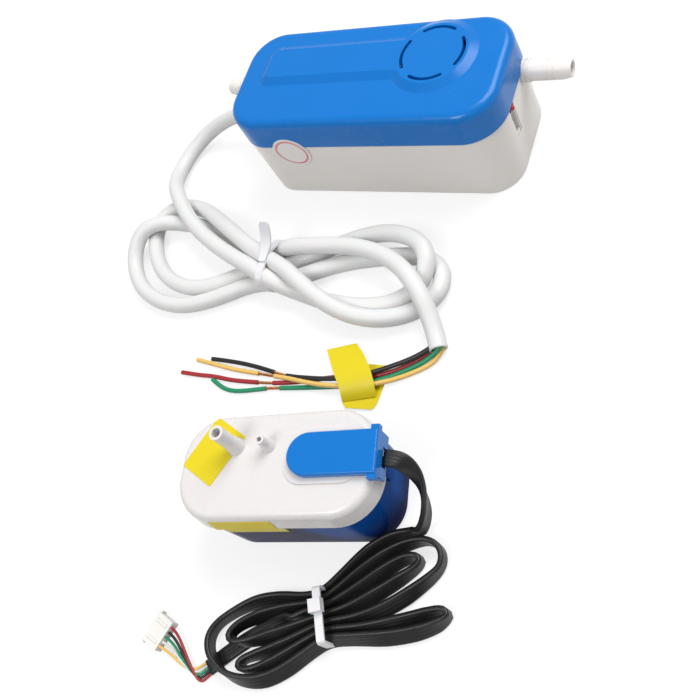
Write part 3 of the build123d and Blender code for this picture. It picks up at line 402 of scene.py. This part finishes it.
def ringFaces(rings, sides, start=0):
    """Faces that join each ring of points to the next, and close the first and the last."""
    faces = []
    for ring in range(rings - 1):
        for k in range(sides):
            a, b = start + ring * sides + k, start + ring * sides + (k + 1) % sides
            faces.append((a, b, b + sides, a + sides))
    faces.append(tuple(start + k for k in reversed(range(sides))))
    faces.append(tuple(start + (rings - 1) * sides + k for k in range(sides)))
    return faces


def wayAt(line, i):
    """The direction of a line at one of its points."""
    return Vector(line[min(i + 1, len(line) - 1)] - line[max(i - 1, 0)]).normalized()


def endWay(line):
    """The direction in which a line ends."""
    return Vector(line[-1] - line[-4]).normalized()


def levelAxes(turn):
    """Two level directions at right angles, turned from x and y by this many degrees."""
    turn = math.radians(turn)
    ahead = Vector((math.cos(turn), math.sin(turn), 0.0))
    return ahead, Vector((-math.sin(turn), math.cos(turn), 0.0))


def band(name, rows, thick, finishName, closed=False):
    """A flat band through rows of (left, right) points, in millimetres, thickened to one side."""
    sharpAngle = math.radians(40)
    verts, faces = [], []
    count = len(rows)
    for i, (left, right) in enumerate(rows):
        ahead = rows[(i + 1) % count] if closed or i + 1 < count else rows[i]
        behind = rows[i - 1] if closed or i else rows[i]
        way = Vector(ahead[0]) + Vector(ahead[1]) - Vector(behind[0]) - Vector(behind[1])
        left, right = Vector(left), Vector(right)
        outward = way.cross(right - left).normalized() * thick
        verts += [left * mm, right * mm, (right + outward) * mm, (left + outward) * mm]
    for i in range(count if closed else count - 1):
        a, b = 4 * i, 4 * ((i + 1) % count)
        faces += [(a + k, a + (k + 1) % 4, b + (k + 1) % 4, b + k) for k in range(4)]
    if not closed:
        faces += [(3, 2, 1, 0), tuple(4 * count - 4 + k for k in range(4))]
    piece = meshPiece(name, verts, faces, finishName)
    piece.data.set_sharp_from_angle(angle=sharpAngle)
    return piece


def smoothRows(rows, steps):
    """Rows of a band along smooth edges, from a few given ones."""
    edges = []
    for side in (0, 1):
        line = lineOf([row[side] for row in rows])
        edges.append(evenly(line, along(line)[-1] / steps))
    return [(tuple(a), tuple(b)) for a, b in zip(*edges)]


def turnedRing(name, place, way, side, rise, outline, finishName, sides=40):
    """A solid of revolution: outline holds (distance along way, radius) pairs, in millimetres."""
    verts = []
    for distance, radius in outline:
        for k in range(sides):
            angle = 2 * math.pi * k / sides
            spoke = side * math.cos(angle) + rise * math.sin(angle)
            verts.append((place + way * distance + spoke * radius) * mm)
    return meshPiece(name, verts, ringFaces(len(outline), sides), finishName)


def strands(name, line, count, radius, ringRadius, turns):
    """Twisted bare wires along a line, joined into one mesh; the last one runs in the middle."""
    verts, faces = [], []
    sides = 8
    reach = along(line)
    for strand in range(count):
        start = len(verts)
        for i, place in enumerate(line):
            way = wayAt(line, i)
            side = way.cross(upward).normalized()
            rise = side.cross(way)
            angle = 2 * math.pi * (strand / max(count - 1, 1) + turns * reach[i] / reach[-1])
            off = ringRadius if strand < count - 1 else 0.0
            middle = Vector(place) + (side * math.cos(angle) + rise * math.sin(angle)) * off
            for k in range(sides):
                around = 2 * math.pi * k / sides
                spoke = side * math.cos(around) + rise * math.sin(around)
                verts.append((middle + spoke * radius) * mm)
        faces += ringFaces(len(line), sides, start)
    return meshPiece(name, verts, faces, "Bare copper strand")


def settle(lines, thick, step, rounds):
    """Lets stiff cords find room: they push apart, lie on the floor and stay near their route."""
    heldPoints = 3
    room = thick * 1.025
    ownGap = math.ceil(3.0 * thick / step)
    smoothing, pushing = 0.35, 0.16
    homing = np.array([0.03, 0.03, 0.01])
    cords = [evenly(line, step) for line in lines]
    ends = np.cumsum([0] + [len(cord) for cord in cords])
    spans = list(zip(ends, ends[1:]))
    which = np.repeat(np.arange(len(cords)), np.diff(ends))
    cord = np.vstack(cords)
    home = cord.copy()
    fixed = np.concatenate([np.r_[a : a + heldPoints, b - heldPoints : b] for a, b in spans])
    first, second = np.triu_indices(len(cord), 1)
    canMeet = (which[first] != which[second]) | (second - first >= ownGap)
    first, second = first[canMeet], second[canMeet]
    for _ in range(rounds):
        smooth = cord.copy()
        smooth[2:-2] = (-cord[:-4] + 4 * cord[1:-3] + 4 * cord[3:-1] - cord[4:]) / 6
        smooth[fixed] = home[fixed]
        cord += smoothing * (smooth - cord)
        cord += homing * (home - cord)
        between = cord[first] - cord[second]
        apart = np.linalg.norm(between, axis=1)
        close = apart < room
        push = between[close] / apart[close, None] * ((room - apart[close]) * pushing)[:, None]
        np.add.at(cord, first[close], push)
        np.add.at(cord, second[close], -push)
        cord[:, 2] = np.maximum(cord[:, 2], thick / 2 + floorGap)
        cord[fixed] = home[fixed]
    return [cord[a:b] for a, b in spans]


# ---- mains cord: one length, wound twice through its tie ------------------------------
mainsThick = 9.0
mainsRoute = [
    (-97, 109, 19), (-104, 109, 18), (-113, 108, 16), (-122, 106, 13), (-131, 102.5, 9.5),
    (-138.5, 96.5, 6.5), (-143, 88, 5), (-144, 78, 5), (-142, 69, 7.5), (-137, 61.5, 11),
    # over the left loops to the tie
    (-130, 54.5, 13.6), (-122, 46, 13.8), (-113, 37.5, 13.8), (-101, 29, 13.8), (-87, 21.5, 13.8),
    (-73, 15, 13.8), (-60, 10, 13.8), (-50, 6.5, 13.8), (-41, 3.5, 13.2), (-32, 1.5, 10.6),
    # inner right loop
    (-23, -0.5, 7), (-13, -2.5, 4.8), (-1, -4.2, 4.6), (11, -4, 4.6), (22, -2.2, 4.6),
    (31, 1.2, 4.8), (38, 7, 7), (42.5, 14, 11), (43, 21.5, 13.6), (38.5, 28, 13.8), (30, 33, 13),
    (19, 36, 11), (7, 37, 8), (-4, 35.5, 5), (-15, 31, 4.6), (-26, 25, 4.6), (-36, 20, 4.8),
    (-46, 16, 5.6), (-57, 13.8, 5.7),
    # inner left loop
    (-66, 10, 5), (-75, 5, 4.6), (-85, 0.8, 4.6), (-97, -2.2, 4.6), (-110, -0.8, 4.6),
    (-123, 5, 4.6), (-133, 14.5, 4.6), (-139.5, 25, 4.6), (-143.5, 35.5, 4.6), (-143, 44.5, 4.6),
    (-136.5, 50.5, 4.6), (-126, 52.5, 4.6), (-115, 50, 6), (-104, 44.8, 9.4), (-93, 38.6, 13),
    (-82, 32.4, 14), (-71, 25.8, 13.8), (-59, 19.5, 13.8), (-48, 14, 13.8),
    # outer right loop
    (-37, 8.6, 13.8), (-25, 2.6, 13.8), (-13, -4, 12.2), (-1, -9, 10.2), (12, -11.8, 8.8),
    (25, -11, 7.4), (36, -7, 6), (44.5, -0.4, 4.8), (50, 8.5, 4.6), (49.5, 17.5, 4.6),
    (43.5, 24, 4.6), (34, 27, 4.6), (22, 26.4, 4.6), (10, 24.6, 4.6), (-3, 22, 4.6),
    (-16, 18, 4.6), (-28, 12, 4.6), (-38, 7.5, 5), (-48, 5, 5.6), (-58, 4.2, 5.7),
    # outer left loop
    (-69, -0.5, 4.9), (-80, -6.4, 4.6), (-93, -12, 4.6), (-108, -14, 4.6), (-124, -10.6, 4.6),
    (-137, -3.4, 4.6), (-146, 6.4, 5), (-149, 16.5, 8), (-147, 26, 12.4), (-141, 32.4, 13.8),
    (-133, 36.5, 11), (-124, 39, 6), (-113, 39.4, 4.6), (-102, 36.6, 4.6), (-91, 32.8, 4.6),
    (-80, 29, 4.6), (-69, 25.6, 5), (-58, 23.2, 5.7),
    # last run, over the right loops to the cut end
    (-48, 23, 7), (-37, 23.6, 9.6), (-26, 24.4, 12.2), (-14, 25.2, 13.8), (-2, 25.4, 13.8),
    (10, 23.8, 13.9), (21, 20, 14.4), (31, 14.2, 15.8), (39.5, 7, 16.6), (46, -0.6, 14.2),
    (50.6, -8, 9), (54, -14.6, 5.2), (57, -21, 4.6),
]
mainsStep, mainsRounds, pointEvery = 3.0, 400, 3
settled = settle([lineOf(mainsRoute)], mainsThick, mainsStep, mainsRounds)[0]
mainsPoints = settled[::pointEvery]
if (len(settled) - 1) % pointEvery:
    mainsPoints = np.vstack([mainsPoints, settled[-1:]])
mainsPiece = paint(lineCurve("mainsCord", mainsPoints, mainsThick / 2), "White soft PVC")
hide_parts("mains_cord", "mains_cord_hank", "mains_cord_tail")
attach(mainsPiece, "root")
mainsLine = lineOf(mainsPoints)

# ---- cable tie: a strap drawn round the strands, with its broad end standing up --------
tieX, tieHalf, strapThick, strapGap, strapStops = -47.5, 2.1, 1.1, 0.3, 96
tiePlanes = (tieX - tieHalf, tieX, tieX + tieHalf)
crossings = []
for x in tiePlanes:
    for before, after in zip(mainsLine, mainsLine[1:]):
        if (before[0] - x) * (after[0] - x) < 0:
            share = (x - before[0]) / (after[0] - before[0])
            crossings.append((before + share * (after - before))[1:])
crossings = np.array(crossings)
strapRows = []
for angle in np.linspace(0, 2 * math.pi, strapStops + 1)[:-1]:
    outward = np.array([math.cos(angle), math.sin(angle)])
    touch = crossings[np.argmax(crossings @ outward)] + outward * (mainsThick / 2 + strapGap)
    touch[1] = max(touch[1], 0.1)
    strapRows.append(((tieX - tieHalf, *touch), (tieX + tieHalf, *touch)))
strap = band("tieStrap", strapRows, -strapThick, "Nylon tie", closed=True)

# the broad end: half its width, y, and height over the cord
cordTop = crossings[:, 1].max() + mainsThick / 2
tongueStops = [
    (2.0, 10.0, 1.2), (2.2, 14.5, 1.5), (2.9, 18.5, 2.6), (3.1, 22.0, 5.0),
    (3.1, 24.6, 8.0), (2.9, 26.4, 10.4), (1.9, 27.2, 11.4),
]
tongueThick = 1.2
tongueRows = [
    ((tieX - wide, y, cordTop + over), (tieX + wide, y, cordTop + over))
    for wide, y, over in tongueStops
]
tongue = band("tieTongue", tongueRows, tongueThick, "Nylon tie")
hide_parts("cord_tie")
for piece in (strap, tongue):
    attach(piece, "root")
print("tie", len(crossings) // len(tiePlanes), "strands, top", round(float(cordTop), 1))

# ---- the cord's cut end --------------------------------------------------------------
cutPlace = Vector(mainsLine[-1])
cutWay = endWay(mainsLine)
cutSide = cutWay.cross(upward).normalized()
cutRise = cutSide.cross(cutWay)
cutOutline = [(-1.0, 4.46), (0.0, 4.52), (0.9, 4.5), (1.15, 4.3), (1.15, 3.45), (0.2, 3.35)]
cutEnd = turnedRing(
    "cutJacket", cutPlace, cutWay, cutSide, cutRise, cutOutline, "White soft PVC",
)
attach(cutEnd, "root")

# ---- insulated cores, each with a stripped window between two distances in x -----------
cores = {
    "black": {
        "finish": "Black core PVC", "slot": "core_black", "window": (-20.5, -28.5),
        "route": [
            (56.1, -20, 6), (52.8, -23.6, 5.8), (47, -27.6, 5), (41, -31, 4.6), (34.4, -34.2, 4.4),
            (28, -37.4, 4.2), (18.4, -41.2, 4.1), (7.9, -43.4, 3.9), (-6.4, -44.8, 3.2),
            (-19.5, -44.6, 1.6), (-28.5, -43.4, 1.3), (-40.5, -41.6, 1.3), (-55.1, -40.6, 1.3),
            (-69.7, -40.8, 1.3),
        ],
    },
    "red": {
        "finish": "Red core PVC", "slot": "core_red", "window": (-27, -36),
        "route": [
            (56.1, -20, 3.2), (51.4, -25.2, 2.6), (43.6, -30.6, 1.7), (35, -35.8, 1.7),
            (25.5, -39.2, 1.7), (14.8, -40.8, 1.6), (7.2, -41.2, 1.4), (-0.3, -43.2, 1.3),
            (-8, -45.6, 1.3), (-17.1, -47.6, 1.3), (-24, -48.8, 1.3), (-30, -49.6, 1.3),
            (-38, -50.2, 1.3), (-49.3, -51, 1.3), (-64, -50.8, 1.3), (-85.8, -50.8, 1.3),
        ],
    },
    "green": {
        "finish": "Green core PVC", "slot": "core_green", "window": (-22, -30),
        "route": [
            (58.9, -20, 6), (57.2, -23.6, 4.6), (52.4, -27.6, 2.8), (44.4, -33, 1.7),
            (35, -38.2, 1.7), (22.2, -43.6, 1.7), (8.8, -46.4, 1.3), (-1, -48, 1.3),
            (-10.8, -49.6, 1.3), (-21.3, -51.2, 1.3), (-30.4, -52.6, 1.3), (-39.2, -55, 1.3),
            (-48.6, -57, 1.3), (-56.6, -56.4, 1.3), (-64.4, -52.2, 1.3),
        ],
    },
    "yellow": {
        "finish": "Yellow core PVC", "slot": "core_yellow", "window": (-27, -37.5),
        "route": [
            (58.9, -20, 3.2), (58.2, -25, 2.4), (54.4, -29.2, 1.7), (48.6, -32.8, 1.5),
            (40, -38, 1.7), (30, -42.6, 2.6), (20.5, -45.4, 4), (10.3, -47, 4.1), (-0.9, -47.6, 4),
            (-12.8, -46.8, 3.8), (-22, -46, 3), (-30, -45.6, 1.6), (-38, -45.2, 1.3),
            (-52, -45.2, 1.3), (-64.6, -43.9, 1.3), (-79, -42.4, 1.3),
        ],
    },
}
coreRadius, coreStep, coreRounds = 1.2, 2.0, 150
corePitch, bareStep, bareTuck = 6.0, 0.8, 1.0
strandCount, strandRadius, strandRing, strandTurns = 7, 0.27, 0.56, 1.4

coreLines = [lineOf(core["route"]) for core in cores.values()]
laid = settle(coreLines, 2 * coreRadius, coreStep, coreRounds)
for (colour, core), line in zip(cores.items(), laid):
    reach = along(line)
    cut = [float(np.interp(-x, -line[:, 0], reach)) for x in core["window"]]
    insulated = evenly(stretchOf(line, 0.0, cut[0]), corePitch)
    slug = evenly(stretchOf(line, cut[1], reach[-1]), corePitch)
    bare = evenly(stretchOf(line, cut[0] - bareTuck, cut[1] + bareTuck), bareStep)
    corePiece = lineCurve("core" + colour.capitalize(), insulated, coreRadius)
    slugPiece = lineCurve("slug" + colour.capitalize(), slug, coreRadius)
    for piece in (corePiece, slugPiece):
        paint(piece, core["finish"])
    wires = strands(
        "strands" + colour.capitalize(), bare, strandCount, strandRadius, strandRing, strandTurns,
    )
    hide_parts("core_" + colour)
    for piece in (corePiece, slugPiece, wires):
        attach(piece, "root")
    core["length"] = float(along(lineOf(insulated))[-1])
print("cores", {c: round(core["length"], 1) for c, core in cores.items()})

# ---- paper tag folded round the cores: one flap over them, one on the floor ------------
paperThick, overSteps, underSteps = 0.18, 26, 20
overRows = [
    ((-2.4, -28.0, 2.2), (12.4, -22.6, 1.8)), ((1.4, -33.0, 3.4), (17.6, -26.6, 3.2)),
    ((6.6, -39.6, 5.6), (23.0, -32.0, 5.8)), ((12.4, -46.4, 6.6), (28.2, -38.4, 6.6)),
    ((14.6, -51.4, 3.6), (31.0, -44.8, 3.8)), ((14.6, -53.2, 0.8), (31.6, -48.0, 0.8)),
]
underRows = [
    ((22.0, -32.0, 0.1), (34.2, -31.3, 0.1)), ((17.0, -42.0, 0.1), (33.4, -41.0, 0.1)),
    ((13.8, -50.4, 0.15), (33.0, -50.4, 0.15)), ((14.6, -54.4, 0.5), (32.6, -53.4, 0.5)),
    ((17.6, -56.2, 1.1), (31.2, -55.0, 1.0)),
]
tagOver = band("tagOver", smoothRows(overRows, overSteps), paperThick, "Yellow paper label")
tagUnder = band("tagUnder", smoothRows(underRows, underSteps), paperThick, "Yellow paper label")
tagPieces = [tagOver, tagUnder]
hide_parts("wire_tag")
for piece in tagPieces:
    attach(piece, "root")

# ---- status lamp, standing a little proud of the wall ---------------------------------
lampPlace = Vector((70.0, 89.6, 38.1))
lampAxes = [Vector((1, 0, 0)), Vector((0, 1, 0)), upward]
lampOutline = [(0, 1.5), (4.2, 1.5), (4.8, 1.38), (5.3, 1.05), (5.6, 0.6), (5.7, 0.15)]
lampSides = 24
lampPiece = turnedRing(
    "statusLamp", lampPlace, *lampAxes, lampOutline, "Red lamp epoxy", lampSides,
)
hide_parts("status_led")
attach(lampPiece, "root")

# ---- the plunger's springs, copied as pieces of their own ------------------------------
for node, name in (("return_spring", "returnSpring"), ("buffer_spring", "bufferSpring")):
    spring = stand(name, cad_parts[node].data.copy())
    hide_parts(node)
    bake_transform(spring)

# ---- flat sensor lead ------------------------------------------------------------------
hankMiddle = Vector((43.0, -150.5, 0.0))
hankAlong, hankAcross = levelAxes(26.0)
hankLean = math.sin(math.radians(32.0))
leadHalfWide, leadHalfThick, leadCores = 3.75, 1.3, 5
leadStep = 1.4

# The last number of a stop is its lean, how the wide side stands: 1 is tilted as in the tie,
# 0 upright, -1 lying flat, and -2 upright again after half a turn.
# From the cover down to the floor, as x, y and z, turning from flat to upright:
freeStops = [
    (65.17, -87.51, 40.4, -1), (69.6, -86.7, 40.4, -1), (74.0, -87.4, 37.6, -1.1),
    (77.2, -90.4, 30.6, -1.45), (78.4, -95.4, 21.6, -1.75), (77.6, -100.9, 12.8, -1.95),
    (74.8, -105.9, 6.6, -2),
]
# In the hank, as the distance along it, the distance across it and the room under the lead:
hankStops = [
    # first run to the left, outside the others
    (44, 26.6, 0.5, 0.3), (34, 27.4, 0.1, 0.6), (22, 23.6, 0.1, 0.9), (10, 16, 0.1, 1),
    (0, 9.3, 1.3, 1), (-9, 9.9, 0.1, 1), (-20, 12.8, 0.1, 0.9), (-32, 14.2, 0.1, 0.6),
    (-44, 11.8, 0.1, 0.2), (-53, 7.8, 1.5, 0), (-56.5, 1.6, 3, 0), (-55.6, -6, 3.2, 0),
    (-50.5, -13.4, 2.1, 0.2), (-42, -18.4, 0.6, 0.6), (-32, -19.9, 0.1, 0.9), (-21, -17.4, 0.1, 1),
    (-10, -12.6, 0.1, 1), (0, -9.3, 1.3, 1),
    # tight front turn on the right
    (12, -11, 0.1, 1), (25, -13.4, 0.1, 1), (38, -14, 0.1, 0.9), (48, -12.8, 0.1, 0.6),
    (53.6, -9.8, 0.1, 0), (51, -7.2, 0.1, 0.2), (43, -7.8, 0.1, 0.7), (29, -8.4, 0.1, 0.9),
    (14, -7.9, 0.1, 1), (0, -6.2, 1.3, 1),
    # tight front turn on the left
    (-9, -8, 0.1, 1), (-19, -11.4, 0.1, 1), (-29, -14.2, 0.1, 0.8), (-38, -15, 0.1, 0.3),
    (-43.6, -12.8, 0.1, 0), (-42.4, -9.4, 0.1, 0), (-34, -8.6, 0.1, 0.4), (-22, -7.6, 0.1, 0.9),
    (-10, -4.8, 0.1, 1), (0, -3.1, 1.3, 1),
    # wide loop on the right
    (12, -3.6, 0.1, 1), (24, -2.4, 0.1, 1), (36, 1.0, 0.1, 0.9), (47, 5.6, 0.1, 0.4),
    (54, 10, 0.5, 0), (54.8, 17.4, 0.5, 0), (49.4, 22.4, 0.4, 0.1), (40, 22.8, 0.1, 0.5),
    (29, 20.2, 0.1, 0.8), (18, 15.8, 0.1, 1), (8, 10.6, 0.1, 1), (0, 6.2, 1.3, 1),
    # inner loop on the left
    (-9, 6.6, 0.1, 1), (-20, 7.6, 0.1, 0.9), (-31, 7.4, 0.4, 0.7), (-40.4, 5.4, 1.9, 0.3),
    (-45.6, 2.0, 3.2, 0), (-45.0, -1.8, 3.2, 0), (-38, -3.4, 2.7, 0.3), (-26, -2.6, 1.6, 0.8),
    (-12, -0.9, 0.1, 1), (0, 0, 1.3, 1),
    # inner loop on the right
    (10, 1.2, 0.1, 1), (22, 4.4, 0.1, 0.9), (34, 8.4, 0.1, 0.6), (44.4, 12.4, 0.1, 0),
    (45, 16.6, 0.1, 0), (37, 16.8, 0.1, 0.5), (25, 12.6, 0.1, 0.9), (13, 7.8, 0.1, 1),
    (0, 3.1, 1.3, 1),
    # last run, lying flat under the left turns, to the jacket's end
    (-9, 3.4, 0.1, 0.9), (-19, 3.2, 0.1, -0.5), (-29, 2.2, 0.1, -1), (-39, -0.4, 0.1, -1),
    (-48, -3.8, 0.1, -1), (-55.5, -7, 0.1, -1), (-60, -9, 0.1, -1),
]


def inHank(u, v, z):
    return tuple(hankMiddle + hankAlong * u + hankAcross * v + Vector((0, 0, z)))


def leanAt(u, lean):
    """Away from the tie the strands have room to lean further over."""
    extraLean, tieReach, spreadReach = 0.55, 10, 18
    if lean <= 0:
        return lean
    return lean * (1 + extraLean * min(1.0, max(0.0, (abs(u) - tieReach) / spreadReach)))


def halfHeight(lean):
    """Half the height that the lead takes up at this lean."""
    sine = np.where(lean >= 0, lean * hankLean, np.sin(-lean * math.pi / 2))
    return leadHalfWide * np.sqrt(1 - sine**2) + leadHalfThick * np.abs(sine)


leadRoute = [stop[:3] for stop in freeStops]
stopLeans = [stop[3] for stop in freeStops]
for u, v, lift, lean in hankStops:
    lean = leanAt(u, lean)
    leadRoute.append(inHank(u, v, lift + float(halfHeight(lean))))
    stopLeans.append(lean)
leadLine = evenly(lineOf(leadRoute), leadStep)
leadReach = along(leadLine)


def nearestAlong(line, places):
    """The number of the line's point that is nearest to each place, in order."""
    searched = 40
    found, start = [], 0
    for place in places:
        window = line[start : start + searched]
        start += int(np.argmin(np.linalg.norm(window - np.array(place), axis=1)))
        found.append(start)
    return found


# how far along the lead each stop lies, in strictly rising order
hair, jump = 1e-6, 1e-4
stopMarks = leadReach[nearestAlong(leadLine, leadRoute)]
stopMarks = np.maximum.accumulate(stopMarks + np.arange(len(stopMarks)) * hair)
# turned half round, the lead is upright again: the lean starts anew from nothing there
turned = len(freeStops)
stopMarks = np.insert(stopMarks, turned, stopMarks[turned - 1] + jump)
leans = np.interp(leadReach, stopMarks, np.insert(stopLeans, turned, 0.0))
leadLine[:, 2] = np.maximum(leadLine[:, 2], halfHeight(leans) + floorGap)


def ribbonOutline():
    """Half-round edges and shallow grooves between the cores, as (wide, thick) pairs."""
    steps, grooveDepth = 30, 0.06
    pitch = 2 * leadHalfWide / leadCores
    flatHalf = leadHalfWide - leadHalfThick
    top = []
    for k in range(steps + 1):
        w = -leadHalfWide + 2 * leadHalfWide * k / steps
        groove = grooveDepth * (0.5 + 0.5 * math.cos(2 * math.pi * (w + leadHalfWide) / pitch))
        edge = max(0.0, abs(w) - flatHalf) / leadHalfThick
        height = (leadHalfThick - groove * (1 - edge)) * math.sqrt(max(0.0, 1 - edge * edge))
        top.append((w, height))
    return top + [(w, -h) for w, h in reversed(top[1:-1])]


def ribbon(name, line, leans, outline, finishName):
    """Sweeps a flat outline along a line; leans say how its wide side stands at each point."""
    verts = []
    before = None
    for i, (place, lean) in enumerate(zip(line, leans)):
        way = wayAt(line, i)
        if lean >= 0:
            wide = upward * math.sqrt(1 - (lean * hankLean) ** 2) + hankAcross * lean * hankLean
        else:
            # lying flat: turn the wide side down sideways, always towards the same side
            turn = -lean * math.pi / 2
            level = way.cross(upward).normalized()
            wide = level.cross(way) * math.cos(turn) + level * math.sin(turn)
        wide = (wide - way * wide.dot(way)).normalized()
        if before is not None and before.dot(wide) < 0:
            wide = -wide
        before = wide
        thin = way.cross(wide)
        verts += [(Vector(place) + wide * w + thin * h) * mm for w, h in outline]
    return meshPiece(name, verts, ringFaces(len(line), len(outline)), finishName)


leadPiece = ribbon("sensorLead", leadLine, leans, ribbonOutline(), "Black soft PVC")
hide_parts("sensor_lead", "sensor_lead_hank")

# ---- five thin wires from the jacket to the plug ---------------------------------------
jacketEnd = Vector(leadLine[-1])
jacketWay = endWay(leadLine)
jacketSide = jacketWay.cross(upward).normalized()
plugMiddle, plugFace = Vector((-38.6, -177.4, 3.0)), 3.0
plugWay, plugAcross = levelAxes(-17.0)
# at each end: the wires' pitch, how far they run straight out, and how much they gather or spread
jacketPitch, jacketRun, jacketSpread = 1.4, 7, 0.3
plugPitch, plugRun, plugGather = 2.5, 8, 0.5
wireRadius, wireTuck, wireSag = 0.65, 2, Vector((0.6, -1.2, 0.4))
# each wire's place in the row, counted from the middle
leadWires = {"Red": 2, "Black": 1, "Green": 0, "White": -1, "Yellow": -2}
for colour, step in leadWires.items():
    start = jacketEnd - jacketSide * step * jacketPitch
    early = start + jacketWay * jacketRun - jacketSide * step * jacketSpread
    landing = plugMiddle + plugWay * plugFace + plugAcross * step * plugPitch
    late = landing + plugWay * plugRun - plugAcross * step * plugGather
    between = (early + late) / 2 + wireSag
    points = [
        start - jacketWay * wireTuck, start + jacketWay, early, between, late,
        landing + plugWay * 1.5, landing - plugWay * wireTuck,
    ]
    wire = paint(lineCurve("leadWire" + colour, points, wireRadius), colour + " core PVC")
    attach(wire, "root")
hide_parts("lead_cores")

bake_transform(leadPiece)
print("cords done")

# ---- floor: its shadow shows, and it is near white wherever it is looked at -------------
floorHalf, floorGlow, glowShare = 4, 1.1, 0.62
floorMesh = bpy.data.meshes.new("floor")
floorCorners = [
    (-floorHalf, -floorHalf, 0), (floorHalf, -floorHalf, 0),
    (floorHalf, floorHalf, 0), (-floorHalf, floorHalf, 0),
]
floorMesh.from_pydata(floorCorners, [], [(0, 1, 2, 3)])
floor = stand("floor", floorMesh)
floorMaterial, make, link, shader = blank("Pale floor")
fill(shader, {"Roughness": 0.9, "Specular IOR Level": 0.1})
rays = make("ShaderNodeLightPath")
looking = rays.outputs["Is Camera Ray"]
for kind in ("Is Glossy Ray", "Is Transmission Ray"):
    either = make("ShaderNodeMath", operation="MAXIMUM")
    link(looking, either.inputs[0])
    link(rays.outputs[kind], either.inputs[1])
    looking = either.outputs["Value"]
floorColour = mixed(make, link, linear("B4B4B4"), linear("F4F4F4"), looking)
link(floorColour, shader.inputs["Base Color"])
share = fill(make("ShaderNodeMath", operation="MULTIPLY"), {1: glowShare})
link(looking, share.inputs[0])
glow = fill(make("ShaderNodeEmission"), {"Color": white, "Strength": floorGlow})
both = make("ShaderNodeMixShader")
link(share.outputs["Value"], both.inputs["Fac"])
link(shader.outputs["BSDF"], both.inputs[1])
link(glow.outputs["Emission"], both.inputs[2])
floorOut = next(n for n in floorMaterial.node_tree.nodes if n.type == "OUTPUT_MATERIAL")
link(both.outputs["Shader"], floorOut.inputs["Surface"])
floorMesh.materials.append(floorMaterial)

# ---- sky: dim as a light, plain white where the camera sees it ---------------------------
world = bpy.data.worlds.new("Studio")
bpy.context.scene.world = world
world.use_nodes = True
make, link = makers(world.node_tree)
dim, bright = [
    fill(make("ShaderNodeBackground"), {"Color": white, "Strength": strength})
    for strength in (0.46, 1.0)
]
skyRays = make("ShaderNodeLightPath")
skyMix = make("ShaderNodeMixShader")
skyOut = make("ShaderNodeOutputWorld")
link(skyRays.outputs["Is Camera Ray"], skyMix.inputs["Fac"])
link(dim.outputs["Background"], skyMix.inputs[1])
link(bright.outputs["Background"], skyMix.inputs[2])
link(skyMix.outputs["Shader"], skyOut.inputs["Surface"])


# ---- light and camera ------------------------------------------------------------------
def softbox(name, place, size, power):
    """A square soft light that shines at the middle of the object."""
    data = bpy.data.lights.new(name, "AREA")
    data.shape = "RECTANGLE"
    data.size = data.size_y = size
    data.energy = power
    lamp = stand(name, data)
    lamp.location = place
    lamp.rotation_euler = (-Vector(place)).to_track_quat("-Z", "Y").to_euler()


softbox("keyBox", place=(0.35, 0.6, 0.95), size=0.75, power=10.8)
softbox("frontBox", place=(-0.15, -0.6, 1.05), size=0.45, power=5.2)

azimuth, elevation, roll = math.radians(55.73), math.radians(53.47), math.radians(-42.85)
flat = math.cos(elevation)
back = Vector((math.sin(azimuth) * flat, -math.cos(azimuth) * flat, math.sin(elevation)))
right = Vector((math.cos(azimuth), math.sin(azimuth), 0))
up = back.cross(right)
cameraRight = right * math.cos(roll) + up * math.sin(roll)
cameraUp = up * math.cos(roll) - right * math.sin(roll)
cameraData = bpy.data.cameras.new("camera")
cameraData.lens = 44.76
cameraData.sensor_width = 36.0
cameraData.clip_start = 0.01
camera = stand("camera", cameraData)
pose = Matrix((cameraRight, cameraUp, back)).transposed().to_4x4()
pose.translation = Vector((0.2205, -0.1698, 0.3454))
camera.matrix_world = pose
bpy.context.scene.camera = camera
bpy.context.scene.view_settings.view_transform = "Standard"
